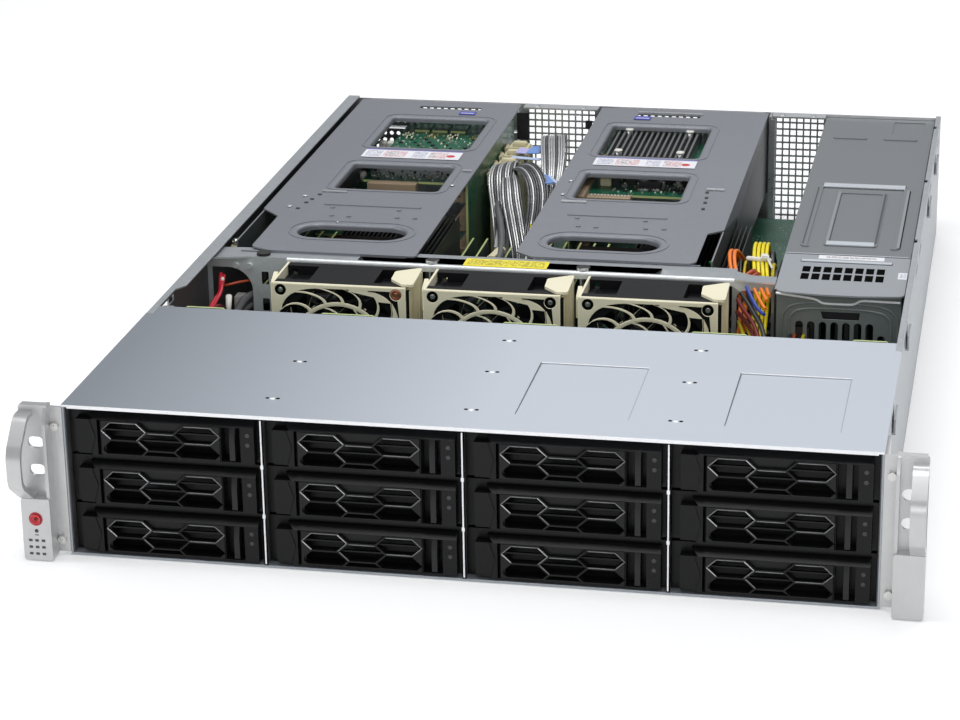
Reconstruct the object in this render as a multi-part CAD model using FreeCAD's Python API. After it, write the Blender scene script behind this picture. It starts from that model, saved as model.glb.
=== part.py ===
"""Two-unit rack server with twelve front drive bays, built as an assembly of separate sub-parts.

Millimetres. While a piece is built, X = 0 is the middle of the chassis, Y = 0 is the face of the drive
bays and Z = 0 is the underside of the base. The finished pieces are then moved so that the origin is the
centre of the underside: +X to the right seen from the front, +Y to the rear, +Z up.
"""
import os
from math import atan2, cos, pi, radians, sin, tan

import FreeCAD
import Part

V = FreeCAD.Vector

# --- chassis -----------------------------------------------------------------------------------------
WIDTH = 437.0            # over the side walls
DEPTH = 650.0            # bay face to rear panel
HEIGHT = 87.5            # base to top of the front cover
EAR_WIDTH = 22.8         # side wall to the outer edge of a rack ear, for 482.6 mm over both
SHEET = 1.2              # chassis steel
LIFT_GAP = 0.3           # gap beside a piece that slides or lifts out
LIP_LEFT = 8.5           # flange along the top of the left wall
LIP_RIGHT = 3.5          # flange along the top of the right wall
LIP_NARROW = 4.0         # the same flange next to the front cover
LIP_START = 203.0        # where the left flange gets its full width
HOOK_SLOT = (24.0, 4.0)  # slots in the walls for the top cover's hooks, length and height
HOOK_SLOT_DROP = 9.0     # top of the walls to those slots
RAIL_HOOK = (22.0, 9.0, 2.0)     # lanced hooks for the slide rails, length, height, stand-off
RAIL_HOOK_DROP = 16.0    # top of the walls to the rail hooks
TOP_DROP = 3.3           # top of the walls to the fan cages, the crossbar and the supply cage

# --- front cover -------------------------------------------------------------------------------------
COVER_DEPTH = 150.0
COVER_NOSE = 0.8         # the cover's front fold stands this far before the bay face
COVER_FOLD = 2.0         # height of that fold
COVER_FOLD_INSET = 3.0   # side of the cover to the end of the fold
PAD_SIZE = (60.0, 80.0)  # the two shallow label pads
PAD_LEFT = (24.0, 134.5)
PAD_FRONT = 23.0
PAD_FALL = 0.5
RIVET_ROWS = (26.0, 84.0)
RIVET_REAR = 15.0        # last row of rivets to the rear edge of the cover
RIVET_R = 1.5
RIVET_HOLE_R = 0.8

# --- drive bays and carriers -------------------------------------------------------------------------
COLUMNS = 4
ROWS = 3
DIVIDER = 1.0            # upright sheet between two columns
CAGE_SIDE = 0.6          # liner sheet on each wall
DIVIDER_HEM = 2.0        # width of the folded front edge of an upright
CAGE_DEPTH = 163.0       # bay face to the cage's rear frame
LEDGE = (2.7, 0.8)       # carrier ledge, width and thickness
DRIVE = (101.6, 146.0)   # 3.5 inch hard drive, width and length
DRIVE_GAP = 0.3
DRIVE_HEADROOM = 1.17    # drive to the ledge above it
BEZEL_DEPTH = 14.0
BEZEL_FACE = (5.6, 3.4)  # left and right margins of the raised face
BEZEL_FACE_DEPTH = 6.0
BEZEL_FOOT = 1.4         # face bottom above the bay floor
BEZEL_HEADROOM = 3.37    # top of the sloping brow to the next bay floor
BROW_RISE = 3.2          # how far the brow rises above the face
BROW_RUN = 4.0           # how far the brow slopes back
LEVER_LEFT = 17.4        # lever pocket from the left side of the bay
LEVER_RIGHT = 85.6
LEVER_THICK = 5.4
LEVER_PIN_R = 1.0
PIN_CLEARANCE = 0.05
HEX_TIP = 12.4           # half the width of a honeycomb cell over its points
HEX_FLAT = 7.2           # half the length of its flat sides
HEX_HALF = 4.75          # half its height
HEX_RIB = 0.9
BUTTON_SLOT_LEFT = 85.9  # release button slot from the left side of the bay
BUTTON_SLOT_RIGHT = 96.6
BUTTON_WIDTH = 3.1
BUTTON_LEFT = 90.4
BUTTON_DEPTH = 5.6
BUTTON_TRAVEL = 2.0
LAMP_R = 1.2
LAMP_X = 100.6
LAMP_HEIGHTS = (12.1, 17.6)
RAIL_THICK = 1.2
RAIL_HEIGHT = 20.0

# --- backplane ---------------------------------------------------------------------------------------
BOARD = 1.6              # every printed board
BACKPLANE_GAP = 2.6      # cage rear frame to backplane
BACKPLANE_DROP = 7.0     # top of the walls to the board's edge between the tabs
TAB_DROP = 0.9           # top of the walls to the tabs
TAB_SLOPE = 7.0
PLUG = (42.0, 6.6)       # drive connector, width and height
DATA_SOCKETS = (-150.0,)
POWER_SOCKETS = ((-192.0, 51.0), (106.0, 43.0), (128.0, 57.5), (152.0, 57.5), (176.0, 57.5))

# --- rack ears ---------------------------------------------------------------------------------------
EAR_PLATE = 2.0
EAR_FRONT = 5.0          # plate face before the bay face
EAR_PROUD = 0.5          # ear above the walls
EAR_FOOT = 0.3
WING = 1.8               # upright wing beside the handle
WING_REACH = 9.5
BLOCK_REACH = 11.0       # lower block, the control panel on the left ear
BLOCK_TOP = 36.0
HANDLE_WIDTH = 8.0
HANDLE_THICK = 2.6
HANDLE_REACH = 28.0
HANDLE_DROP = 3.4        # top of the ear to the top of the handle
RACK_SLOT = (9.0, 6.6)   # rack screw slot, length and height
RACK_SLOT_LEVELS = (50.8, 66.675)    # second unit's first two holes of the standard rack pattern
RACK_SLOT_X = 232.55     # half of the rack's 465.1 mm screw spacing
POWER_R = 2.7
POWER_HEIGHT = 24.4
POWER_GAP = 0.25

# --- fans --------------------------------------------------------------------------------------------
FAN_COUNT = 3
FAN_PITCH = 94.0
FAN_FIRST_X = -122.0
FAN_FRONT = 225.0        # face of the fan cages
FAN_SIZE = 80.0
FAN_DEPTH = 38.0
FAN_SCREWS = 71.5
FAN_BORE_R = 38.4
FAN_BLADE_GAP = 0.9
FAN_HUB_R = 18.0
GRILLE = 2.2
GRILLE_RING_R = 29.0
GRILLE_RIB = 1.9
BLADES = 7
SPOKES = 13

# --- fan wall ----------------------------------------------------------------------------------------
WALL_Y = 271.0
BAR_DEPTH = 20.0
BAR_LIP = 4.6
BAR_ROUND = 2.0
FAN_TRAY = 2.4
FRAME_RIGHT = 137.0      # the fan wall ends at the supply cage
FRAME_WINDOW = (1.5, 2.5, 20.0, 6.7)     # window in the right frame: margins left and right, sill, drop
LEFT_OPENING = (22.5, 7.2, 15.0)         # opening in the left plate: margin to the fans, drop, corner radius

# --- power supplies ----------------------------------------------------------------------------------
CAGE_LEFT = 137.2
CAGE_RIGHT = 214.2
CAGE_FRONT = 254.0
CAGE_STEP = 328.0        # perforated nose before, plain lid behind
CAGE_SHEET = 1.0
PSU = (73.5, 262.0)      # width and length of a supply
PSU_SHELF = 1.0
PSU_LID_GAP = 0.1
PSU_HANDLE = 17.0

# --- mainboard ---------------------------------------------------------------------------------------
MAIN = (-205.0, 128.0, 296.0, 636.0)     # board edges, left, right, front, rear
MAIN_HEIGHT = 8.0
HEATSINK = (72.0, 108.0, 54.0)
HEATSINK_BASE = 6.0
PRESS_BLOCK = 2.0        # height of the block under a cooler
FIN = 0.6
FIN_PITCH = 3.0
MEMORY = (133.35, 1.3, 30.0)
MEMORY_SOCKET = (141.0, 6.2, 9.0)
MEMORY_PITCH = 9.6
LINK_SOCKET = (16.0, 14.0, 62.4)         # tall link connector, width, depth and height
LINK_PLACES = (508.0, 530.0, 552.0, 574.0)

# --- risers ------------------------------------------------------------------------------------------
RISER_DROP = 1.3         # top of the walls to the riser lids
RISER_SHEET = 1.0
RISER_REAR = 646.0
RISER_SOCKETS = (-88.5, -19.5)   # middle of the two upright riser boards
RISER_MARGINS = (2.0, -7.0)      # riser boards to the edges of the lids
RISER_WINDOW_HALF = 35.0
REAR_WINDOW = (522.0, 601.0)
MIDDLE_WINDOW = (419.0, 480.0)
FRONT_WINDOW = (311.0, 339.0)
WINDOW_ROUND = 4.0
WINDOW_RIM = (1.6, 4.0, 2.0)     # turned-down rim of a window: width, height, radius of the roll
WINDOW_BEAD = (5.0, 1.2, 0.4)    # raised line round a window: distance, width, height
CARD_DROP = 14.0         # lid to the upper card
CARD_LOWEST = 30.6       # level of the lowest card
CARD_LEVELS = 3
CARD_FRONTS = (484.0, 473.0)     # front edge of the cards in the left and in the right riser
CARD_REAR = 640.0
SHORT_CARD_LEFT = -168.5         # the left riser's top card does not fill its bay
CHIP = (11.0, 20.0, 1.6)         # card chip, width, length and height
CHIP_PITCH = 13.4
CHIPS_AT = (-159.5, 609.0)
COOLER = (58.0, 80.0, 9.0)       # finned cooler of the right riser's top card
COOLER_AT = (-7.5, 537.0)
COOLER_BASE = 2.5
COOLER_FIN = 1.5
COOLER_PITCH = 4.0
FRONT_PLUGS = ((-163.5, -129.5), (-9.2, 20.4))   # plugs before the two top cards, left and right ends
FRONT_PLUG_SIZE = (9.0, 4.0)     # their depth, and how far they hang below the card
CARD_ROUND_HOLE = 1.5
BRACKET_STRIP = 9.0      # upright strip that the slot brackets are screwed to


# --- small tools for the shapes ----------------------------------------------------------------------
TURNS = {
    "xy": (FreeCAD.Rotation(), V(0, 0, 1)),
    "xz": (FreeCAD.Rotation(V(1, 0, 0), 90), V(0, 1, 0)),
    "yz": (FreeCAD.Rotation(V(1, 1, 1), 120), V(1, 0, 0)),
}


def outline(*corners):
    """Closed wire through corners (u, v); a corner given as (u, v, r) is rounded to radius r."""
    count = len(corners)
    ends = []
    edges = []
    for index, corner in enumerate(corners):
        point = V(corner[0], corner[1], 0)
        if len(corner) == 2:
            ends.append((point, point))
            continue
        before = (V(*corners[index - 1][:2], 0) - point).normalize()
        after = (V(*corners[(index + 1) % count][:2], 0) - point).normalize()
        half = before.getAngle(after) / 2
        reach = corner[2] / tan(half)
        centre = point + (before + after).normalize() * (corner[2] / sin(half))
        middle = centre + (point - centre).normalize() * corner[2]
        ends.append((point + before * reach, point + after * reach))
        edges.append(Part.Arc(ends[-1][0], middle, ends[-1][1]).toShape())
    for index in range(count):
        start = ends[index][1]
        end = ends[(index + 1) % count][0]
        if start.distanceToPoint(end) > 1e-6:
            edges.append(Part.makeLine(start, end))
    return Part.Wire(Part.__sortEdges__(edges))


def oblong(u0, u1, v0, v1, r=0.0):
    """Rectangle between two corners, with rounded corners when r is given."""
    corners = [(u0, v0), (u1, v0), (u1, v1), (u0, v1)]
    return outline(*[(u, v, r) if r else (u, v) for u, v in corners])


def ring(u, v, r):
    return Part.Wire(Part.makeCircle(r, V(u, v, 0)))


def sheet(plane, level, thickness, outer, holes=()):
    """Flat piece: an outline with holes, lying on a plane at a level and thickened along its normal."""
    turn, normal = TURNS[plane]
    face = Part.makeFace([outer, *holes], "Part::FaceMakerBullseye")
    face.Placement = FreeCAD.Placement(normal * level, turn)
    return face.extrude(normal * thickness).Solids[0]


def block(x0, x1, y0, y1, z0, z1):
    return Part.makeBox(x1 - x0, y1 - y0, z1 - z0, V(x0, y0, z0))


def rod(axis, centre, r, length):
    direction = {"x": V(1, 0, 0), "y": V(0, 1, 0), "z": V(0, 0, 1)}[axis]
    return Part.makeCylinder(r, length, V(*centre), direction)


def joined(shapes):
    """One solid from shapes that touch or overlap."""
    first, *others = shapes
    return first.fuse(others).removeSplitter() if others else first


def carved(shape, tools):
    return shape.cut(Part.makeCompound(tools)) if tools else shape


def mirrored(shape):
    return shape.mirror(V(0, 0, 0), V(1, 0, 0))


def moved(shapes, x=0.0, y=0.0, z=0.0):
    return [shape.translated(V(x, y, z)) for shape in shapes]


def grid(u0, u1, v0, v1, pitch):
    """Centres of a grid of holes that fits between two corners."""
    across = int((u1 - u0) / pitch)
    up = int((v1 - v0) / pitch)
    left = (u0 + u1 - (across - 1) * pitch) / 2
    low = (v0 + v1 - (up - 1) * pitch) / 2
    return [(left + i * pitch, low + j * pitch) for i in range(across) for j in range(up)]


def square_mesh(u0, u1, v0, v1, pitch=5.0, web=1.2):
    half = (pitch - web) / 2
    return [oblong(u - half, u + half, v - half, v + half) for u, v in grid(u0, u1, v0, v1, pitch)]


def tube(points, diameter):
    """Cable along straight runs joined by tangent arcs that are as large as the runs allow."""
    corners = [V(*point) for point in points]
    edges = []
    radii = []
    start = corners[0]
    for before, corner, after in zip(corners, corners[1:], corners[2:]):
        back = before - corner
        ahead = after - corner
        shorter = min(back.Length, ahead.Length)
        back.normalize()
        ahead.normalize()
        half_turn = (pi - back.getAngle(ahead)) / 2
        reach = 0.45 * shorter
        radius = reach / tan(half_turn)
        centre = corner + (back + ahead).normalize() * (radius / cos(half_turn))
        middle = centre + (corner - centre).normalize() * radius
        first = corner + back * reach
        last = corner + ahead * reach
        edges.append(Part.makeLine(start, first))
        edges.append(Part.Arc(first, middle, last).toShape())
        radii.append(radius)
        start = last
    edges.append(Part.makeLine(start, corners[-1]))
    path = Part.Wire(edges)
    profile = Part.Wire(Part.makeCircle(diameter / 2, corners[0], corners[1] - corners[0]))
    solid = path.makePipeShell([profile], True, False)
    area = pi * diameter ** 2 / 4
    ratio = solid.Volume / (area * path.Length)
    print("cable %4.1f mm: length %5.1f, volume ratio %.3f, radii %s"
          % (diameter, path.Length, ratio, " ".join("%.0f" % r for r in radii)))
    return solid


# --- places worked out from the sizes ----------------------------------------------------------------
HALF = WIDTH / 2
INNER = HALF - SHEET
COVER_UNDER = HEIGHT - SHEET
TOP_LINE = HEIGHT - TOP_DROP
EAR_TOP = HEIGHT + EAR_PROUD
RISER_TOP = HEIGHT - RISER_DROP
RISER_UNDER = RISER_TOP - RISER_SHEET
BAY_WIDTH = (2 * (INNER - CAGE_SIDE) - (COLUMNS - 1) * DIVIDER) / COLUMNS
COLUMN_PITCH = BAY_WIDTH + DIVIDER
ROW_PITCH = (COVER_UNDER - SHEET) / ROWS
DRIVE_FLOOR = LEDGE[1] + DRIVE_GAP
DRIVE_HEIGHT = ROW_PITCH - DRIVE_FLOOR - DRIVE_HEADROOM
BEZEL_TOP = ROW_PITCH - BEZEL_HEADROOM
BEZEL_BROW = BEZEL_TOP - BROW_RISE
BACKPLANE_Y = CAGE_DEPTH + DIVIDER + BACKPLANE_GAP
FAN_AXIS_Z = TOP_LINE - FAN_SIZE / 2
EAR_LEFT = HALF + EAR_WIDTH
MAIN_TOP = MAIN_HEIGHT + BOARD
PSU_HEIGHT = (TOP_LINE - CAGE_SHEET - SHEET - PSU_SHELF - 3 * LIFT_GAP - PSU_LID_GAP) / 2
CARD_PITCH = (RISER_UNDER - CARD_DROP - CARD_LOWEST) / (CARD_LEVELS - 1)


def bay_left(column):
    return -INNER + CAGE_SIDE + column * COLUMN_PITCH


def bay_floor(row):
    return SHEET + row * ROW_PITCH


def card_level(level):
    """Underside of an expansion card, counted from the top."""
    return RISER_UNDER - CARD_DROP - level * CARD_PITCH


# --- chassis -----------------------------------------------------------------------------------------
def wall_outline():
    """Side wall seen from the side: lower under the front cover, full height behind it."""
    step = COVER_DEPTH + LIFT_GAP
    return outline((0, 0), (DEPTH, 0), (DEPTH, HEIGHT), (step, HEIGHT),
                   (step, COVER_UNDER), (0, COVER_UNDER))


def chassis_tray():
    base = sheet("xy", 0, SHEET, oblong(-HALF, HALF, 0, DEPTH))
    length, tall = HOOK_SLOT
    slot_z = HEIGHT - HOOK_SLOT_DROP
    places = [COVER_DEPTH + 26.0, LIP_START + 100.0, LIP_START + 142.0, DEPTH - 170.0, DEPTH - 60.0]
    slots = [oblong(y, y + length, slot_z, slot_z + tall) for y in places]
    left = sheet("yz", -HALF, SHEET, wall_outline(), slots)
    right = sheet("yz", INNER, SHEET, wall_outline(), slots)
    step = COVER_DEPTH + LIFT_GAP
    left_lip = sheet("xy", COVER_UNDER, SHEET, outline(
        (-HALF, step), (-HALF + LIP_NARROW, step), (-HALF + LIP_NARROW, LIP_START - 8.0),
        (-HALF + LIP_LEFT, LIP_START), (-HALF + LIP_LEFT, DEPTH), (-HALF, DEPTH)))
    right_lip = sheet("xy", COVER_UNDER, SHEET, oblong(HALF - LIP_RIGHT, HALF, step, DEPTH))
    notches = [block(HALF - LIP_RIGHT - 1, INNER - 0.6, y, y + 7.0, COVER_UNDER - 1, HEIGHT + 1)
               for y in (COVER_DEPTH + 200.0, COVER_DEPTH + 332.0, COVER_DEPTH + 466.0)]
    long, high, proud = RAIL_HOOK
    hooks = []
    for y in (64.0, 196.0, DEPTH - 196.0, DEPTH - 96.0):
        z = HEIGHT - RAIL_HOOK_DROP
        hook = joined([block(HALF, HALF + proud, y, y + long, z, z + SHEET),
                       block(HALF + proud - SHEET, HALF + proud, y, y + long, z, z + high)])
        hooks += [hook, mirrored(hook)]
    tray = joined([base, left, right, left_lip, right_lip, *hooks])
    return [carved(tray, notches)]


def rivet_places():
    """Rivets over the uprights of the drive cage, plus the rear row."""
    places = []
    for column in range(1, COLUMNS):
        x = bay_left(column) - DIVIDER / 2
        places += [(x, y) for y in RIVET_ROWS]
        if column > 1:
            places.append((x, COVER_DEPTH - RIVET_REAR))
    return places


def front_cover():
    lid = block(-HALF, HALF, -COVER_NOSE, COVER_DEPTH, COVER_UNDER, HEIGHT)
    fold_half = HALF - COVER_FOLD_INSET
    fold = block(-fold_half, fold_half, -COVER_NOSE, 0, HEIGHT - COVER_FOLD, HEIGHT)
    cover = joined([lid, fold])
    wide, long = PAD_SIZE
    tools = []
    y = PAD_FRONT
    for x in PAD_LEFT:
        wedge = outline((y, HEIGHT + 1), (y, HEIGHT), (y + long, HEIGHT - PAD_FALL), (y + long, HEIGHT + 1))
        tools.append(sheet("yz", x, wide, wedge))
    rivets = []
    for x, y in rivet_places():
        dome = Part.makeSphere(RIVET_R * 1.6, V(x, y, HEIGHT - RIVET_R * 1.1))
        rivets.append(dome.common(block(x - 3, x + 3, y - 3, y + 3, COVER_UNDER, HEIGHT + 2)))
        tools += [rod("z", (x + side * (RIVET_R + 1.4), y, COVER_UNDER - 1), RIVET_HOLE_R, SHEET + 2)
                  for side in (-1, 1)]
    return [joined([carved(cover, tools), *rivets])]


# --- drive cage and carriers -------------------------------------------------------------------------
def drive_cage():
    top = COVER_UNDER - 0.1
    solids = []
    wide, thin = LEDGE
    edges = [bay_left(column) - DIVIDER for column in range(1, COLUMNS)]
    for x in edges:
        upright = block(x, x + DIVIDER, 0.6, CAGE_DEPTH, SHEET, top)
        middle = x + DIVIDER / 2
        hem = block(middle - DIVIDER_HEM / 2, middle + DIVIDER_HEM / 2, 0, 0.6, SHEET, top)
        ledges = [block(x - wide, x + DIVIDER + wide, BEZEL_DEPTH + 1, CAGE_DEPTH, z, z + thin)
                  for z in map(bay_floor, range(ROWS))]
        solids.append(joined([upright, hem, *ledges]))
    for side in (-1, 1):
        liner = block(INNER - CAGE_SIDE, INNER, 0.2, CAGE_DEPTH, SHEET, top)
        ledges = [block(INNER - CAGE_SIDE - wide, INNER, BEZEL_DEPTH + 1, CAGE_DEPTH, z, z + thin)
                  for z in map(bay_floor, range(ROWS))]
        solid = joined([liner, *ledges])
        solids.append(solid if side > 0 else mirrored(solid))
    wide_plug, high_plug = PLUG
    windows = []
    for column in range(COLUMNS):
        for row in range(ROWS):
            middle = bay_left(column) + BAY_WIDTH / 2
            z = bay_floor(row)
            windows.append(oblong(middle - wide_plug / 2 - 2, middle + wide_plug / 2 + 2,
                                  z + 4.0, z + 4.0 + high_plug + 4.0, 1.0))
            windows += [oblong(middle + u, middle + u + 14.0, z + ROW_PITCH - 10.4, z + ROW_PITCH - 3.4, 2.0)
                        for u in (-45.0, -26.0, -7.0, 12.0, 31.0)]
    rear = sheet("xz", CAGE_DEPTH, DIVIDER, oblong(-INNER, INNER, SHEET, top), windows)
    return [*solids, rear]


def hexagon(u, v):
    return outline((u - HEX_TIP, v), (u - HEX_FLAT, v - HEX_HALF), (u + HEX_FLAT, v - HEX_HALF),
                   (u + HEX_TIP, v), (u + HEX_FLAT, v + HEX_HALF), (u - HEX_FLAT, v + HEX_HALF))


def lever_box():
    """Lever outline in the bay's own coordinates: left, right, low, high."""
    return LEVER_LEFT + 0.4, LEVER_RIGHT - 0.4, BEZEL_FOOT + 0.4, BEZEL_BROW - 0.4


def pivot_place():
    """Lever pin, from the left side of the bay and behind the bay face."""
    return LEVER_LEFT + 0.4 + LEVER_THICK / 2, 0.2 + LEVER_THICK / 2


def carrier_bezel():
    left, right = BEZEL_FACE[0], BAY_WIDTH - BEZEL_FACE[1]
    flange = block(0.5, BAY_WIDTH - 0.5, BEZEL_FACE_DEPTH, BEZEL_DEPTH, 0.5, ROW_PITCH - 1.1)
    face = sheet("yz", left, right - left, outline(
        (0, BEZEL_FOOT), (BEZEL_FACE_DEPTH, BEZEL_FOOT), (BEZEL_FACE_DEPTH, BEZEL_TOP),
        (BROW_RUN, BEZEL_TOP), (0, BEZEL_BROW)))
    slab = joined([flange, face])
    brow_cut = sheet("xz", -1, BEZEL_FACE_DEPTH + 1, outline(
        (left - 1, BEZEL_BROW), (left + 9.5, BEZEL_BROW), (left + 4.5, BEZEL_TOP + 1),
        (left - 1, BEZEL_TOP + 1)))
    foot_cut = sheet("xz", -1, 3.0, outline(
        (left - 1, BEZEL_FOOT - 1), (left + 11.0, BEZEL_FOOT - 1), (left + 6.0, BEZEL_FOOT + 1.6),
        (left - 1, BEZEL_FOOT + 2.6)))
    groove = sheet("xz", -1, 1.5, outline(
        (left + 7.4, BEZEL_BROW + 0.1), (left + 8.2, BEZEL_BROW + 0.1), (LEVER_LEFT - 0.4, 12.2),
        (left + 8.4, BEZEL_FOOT - 0.1), (left + 7.6, BEZEL_FOOT - 0.1), (LEVER_LEFT - 1.3, 12.2)))
    lever_pocket = block(LEVER_LEFT, LEVER_RIGHT, -1, BEZEL_DEPTH - 2, BEZEL_FOOT, BEZEL_BROW)
    button_pocket = block(BUTTON_SLOT_LEFT, BUTTON_SLOT_RIGHT, -1, 0.2 + BUTTON_DEPTH + BUTTON_TRAVEL + 0.4,
                          BEZEL_FOOT + 0.6, BEZEL_BROW - 0.2)
    lamps = [rod("y", (LAMP_X, -1, z), LAMP_R + 0.05, 5.0) for z in LAMP_HEIGHTS]
    slab = carved(slab, [brow_cut, foot_cut, groove, lever_pocket, button_pocket, button_stem(0.5), *lamps])
    sill = block(LEVER_LEFT - 1, LEVER_RIGHT + 1, 1.0, BEZEL_DEPTH, 0.5, BEZEL_FOOT)
    x, y = pivot_place()
    pin = rod("z", (x, y, 0.9), LEVER_PIN_R, BEZEL_BROW - 0.3)
    return joined([slab, sill, pin])


def carrier():
    """Bezel, two side rails, the drive between them, light pipes and the drive screws."""
    solids = [carrier_bezel()]
    wide, long = DRIVE
    high = DRIVE_HEIGHT
    drive_left = (BAY_WIDTH - wide) / 2
    floor = DRIVE_FLOOR
    start = BEZEL_DEPTH + 1.2
    drive = block(drive_left, drive_left + wide, start, start + long, floor, floor + high)
    step = block(drive_left - 1, drive_left + wide + 1, BEZEL_DEPTH, BEZEL_DEPTH + 22.0,
                 floor + high - 3.0, floor + high + 1)
    solids.append(carved(drive, [step]))
    for x in (drive_left - RAIL_THICK, drive_left + wide):
        rail = block(x, x + RAIL_THICK, BEZEL_DEPTH, BEZEL_DEPTH + long, floor, floor + RAIL_HEIGHT)
        slots = [block(x - 1, x + RAIL_THICK + 1, y, y + 16.0, floor + 12.0, floor + 15.0)
                 for y in (BEZEL_DEPTH + 48.0, BEZEL_DEPTH + 76.0)]
        solids.append(carved(rail, slots))
    solids += [rod("y", (LAMP_X, -0.15, z), LAMP_R, 4.0) for z in LAMP_HEIGHTS]
    return solids


def carrier_lever():
    left, right, low, high = lever_box()
    x, y = pivot_place()
    front, back = 0.2, 0.2 + LEVER_THICK
    barrel = rod("z", (x, y, low), LEVER_THICK / 2, high - low)
    middle = (LEVER_LEFT + LEVER_RIGHT) / 2 + 0.9
    pitch_x = HEX_TIP + HEX_FLAT + HEX_RIB
    pitch_z = 2 * HEX_HALF + HEX_RIB
    upper = high - 1.0 - HEX_HALF
    centres = [(middle - pitch_x, upper), (middle + pitch_x, upper), (middle, upper - pitch_z / 2),
               (middle - pitch_x, upper - pitch_z), (middle + pitch_x, upper - pitch_z)]
    rim = sheet("xz", front, LEVER_THICK, oblong(x, right, low, high))
    frame = block(x, right, front - 1, back + 1, low + 0.8, high - 0.8)
    cells = [sheet("xz", front - 1, LEVER_THICK + 2, hexagon(*centre)).common(frame) for centre in centres]
    notch = sheet("xz", front - 1, 3.2, hexagon(middle, upper + pitch_z / 2))
    drip = sheet("xz", front - 1, LEVER_THICK + 2, hexagon(middle, upper - 1.5 * pitch_z)).common(frame)
    bars = [block(cx - HEX_TIP - 0.2, cx + HEX_TIP + 0.2, front + 2.2, front + 4.0, cz - 0.45, cz + 0.45)
            for cx, cz in centres[:3]]
    plate = joined([carved(joined([rim, barrel]), [*cells, notch, drip]), *bars])
    bore = rod("z", (x, y, low - 1), LEVER_PIN_R + PIN_CLEARANCE, high - low + 2)
    return [carved(plate, [bore])]


def carrier_button():
    low = BEZEL_FOOT + 0.6 + LIFT_GAP
    high = BEZEL_BROW - 0.2 - LIFT_GAP
    back = 0.2 + BUTTON_DEPTH
    cap = sheet("yz", BUTTON_LEFT, BUTTON_WIDTH, outline((0.4, low), (back, low), (back, high), (2.2, high),
                                                         (0.4, high - 6.6)))
    return [joined([cap, button_stem(0)])]


def button_stem(gap):
    """Guide stem behind the release button, or with a gap the hole that it slides in."""
    middle = BUTTON_LEFT + BUTTON_WIDTH / 2
    return block(middle - 0.8 - gap, middle + 0.8 + gap, 0.1 + BUTTON_DEPTH, BEZEL_DEPTH - 1.6 + 4 * gap,
                 9.0 - gap, 15.0 + gap)


# --- backplane ---------------------------------------------------------------------------------------
def backplane():
    """Board behind the drives with handling tabs on top, drive plugs in front and cable sockets behind."""
    half = INNER - 1.0
    base = HEIGHT - BACKPLANE_DROP
    tab_top = HEIGHT - TAB_DROP
    corners = [(-half, SHEET + 0.3), (half, SHEET + 0.3), (half, base)]
    spans = [(184.0, half - 0.2), (93.0, 137.0), (-16.0, 28.0), (-124.0, -80.0), (-206.0, -170.0)]
    for low, high in spans:
        corners += [(high, base), (high - TAB_SLOPE, tab_top), (low + TAB_SLOPE, tab_top), (low, base)]
    corners.append((-half, base))
    holes = []
    solids = []
    wide, high_plug = PLUG
    for column in range(COLUMNS):
        middle = bay_left(column) + BAY_WIDTH / 2
        for row in range(ROWS):
            z = bay_floor(row)
            plug_front = BEZEL_DEPTH + 1.2 + DRIVE[1] + DRIVE_GAP
            solids.append(block(middle - wide / 2, middle + wide / 2, plug_front, BACKPLANE_Y,
                                z + 6.0, z + 6.0 + high_plug))
            holes += [oblong(middle + u, middle + u + 24.0, z + ROW_PITCH - 13.9, z + ROW_PITCH - 6.9, 2.0)
                      for u in (-40.0, 14.0)]
    board = sheet("xz", BACKPLANE_Y, BOARD, outline(*corners), holes)
    behind = BACKPLANE_Y + BOARD
    solids += [block(x - 11, x + 11, behind, behind + 11.0, 28.5, 42.0) for x in DATA_SOCKETS]
    solids += [block(x - 10, x + 10, behind, behind + 9.0, z, z + 10.0) for x, z in POWER_SOCKETS]
    return [board, *solids]


# --- rack ears ---------------------------------------------------------------------------------------
def ear_bracket():
    """Right-hand ear: mounting plate, wing, lower block and the thin top lip, as one casting."""
    inner = HALF
    outer = EAR_LEFT
    plate = sheet("xz", -EAR_FRONT, EAR_PLATE, oblong(inner + 7.0, outer, EAR_FOOT, EAR_TOP, 1.5))
    root = block(inner, inner + 8.4, -0.5, 1.3, EAR_FOOT + 1.4, EAR_TOP - 2.0)
    flange = block(inner, inner + 1.4, 0, 34.0, EAR_FOOT + 1.4, COVER_UNDER - 3.0)
    wing = sheet("yz", inner + 6.6, WING, outline(
        (-WING_REACH, BLOCK_TOP - 4), (1.0, BLOCK_TOP - 4), (1.0, EAR_TOP), (-EAR_FRONT, EAR_TOP, 3.0),
        (-WING_REACH, EAR_TOP - 9, 8.0)))
    body = sheet("xz", -BLOCK_REACH, BLOCK_REACH + 1.0, oblong(inner + 6.6, outer, EAR_FOOT, BLOCK_TOP, 1.2))
    lip = block(inner + 6.6, outer - 1.0, -EAR_FRONT, 0, EAR_TOP - 1.2, EAR_TOP)
    hollow = block(inner + 9.5, outer - 2.5, -EAR_FRONT + EAR_PLATE, 2.0, EAR_FOOT + 2.5, BLOCK_TOP - 10.0)
    half_long, half_high = RACK_SLOT[0] / 2, RACK_SLOT[1] / 2
    slots = [sheet("xz", -EAR_FRONT - 1, EAR_PLATE + 2, oblong(
        RACK_SLOT_X - half_long, RACK_SLOT_X + half_long, z - half_high, z + half_high, half_high))
        for z in RACK_SLOT_LEVELS]
    return carved(joined([plate, root, flange, wing, body, lip]), [hollow, *slots])


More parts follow.
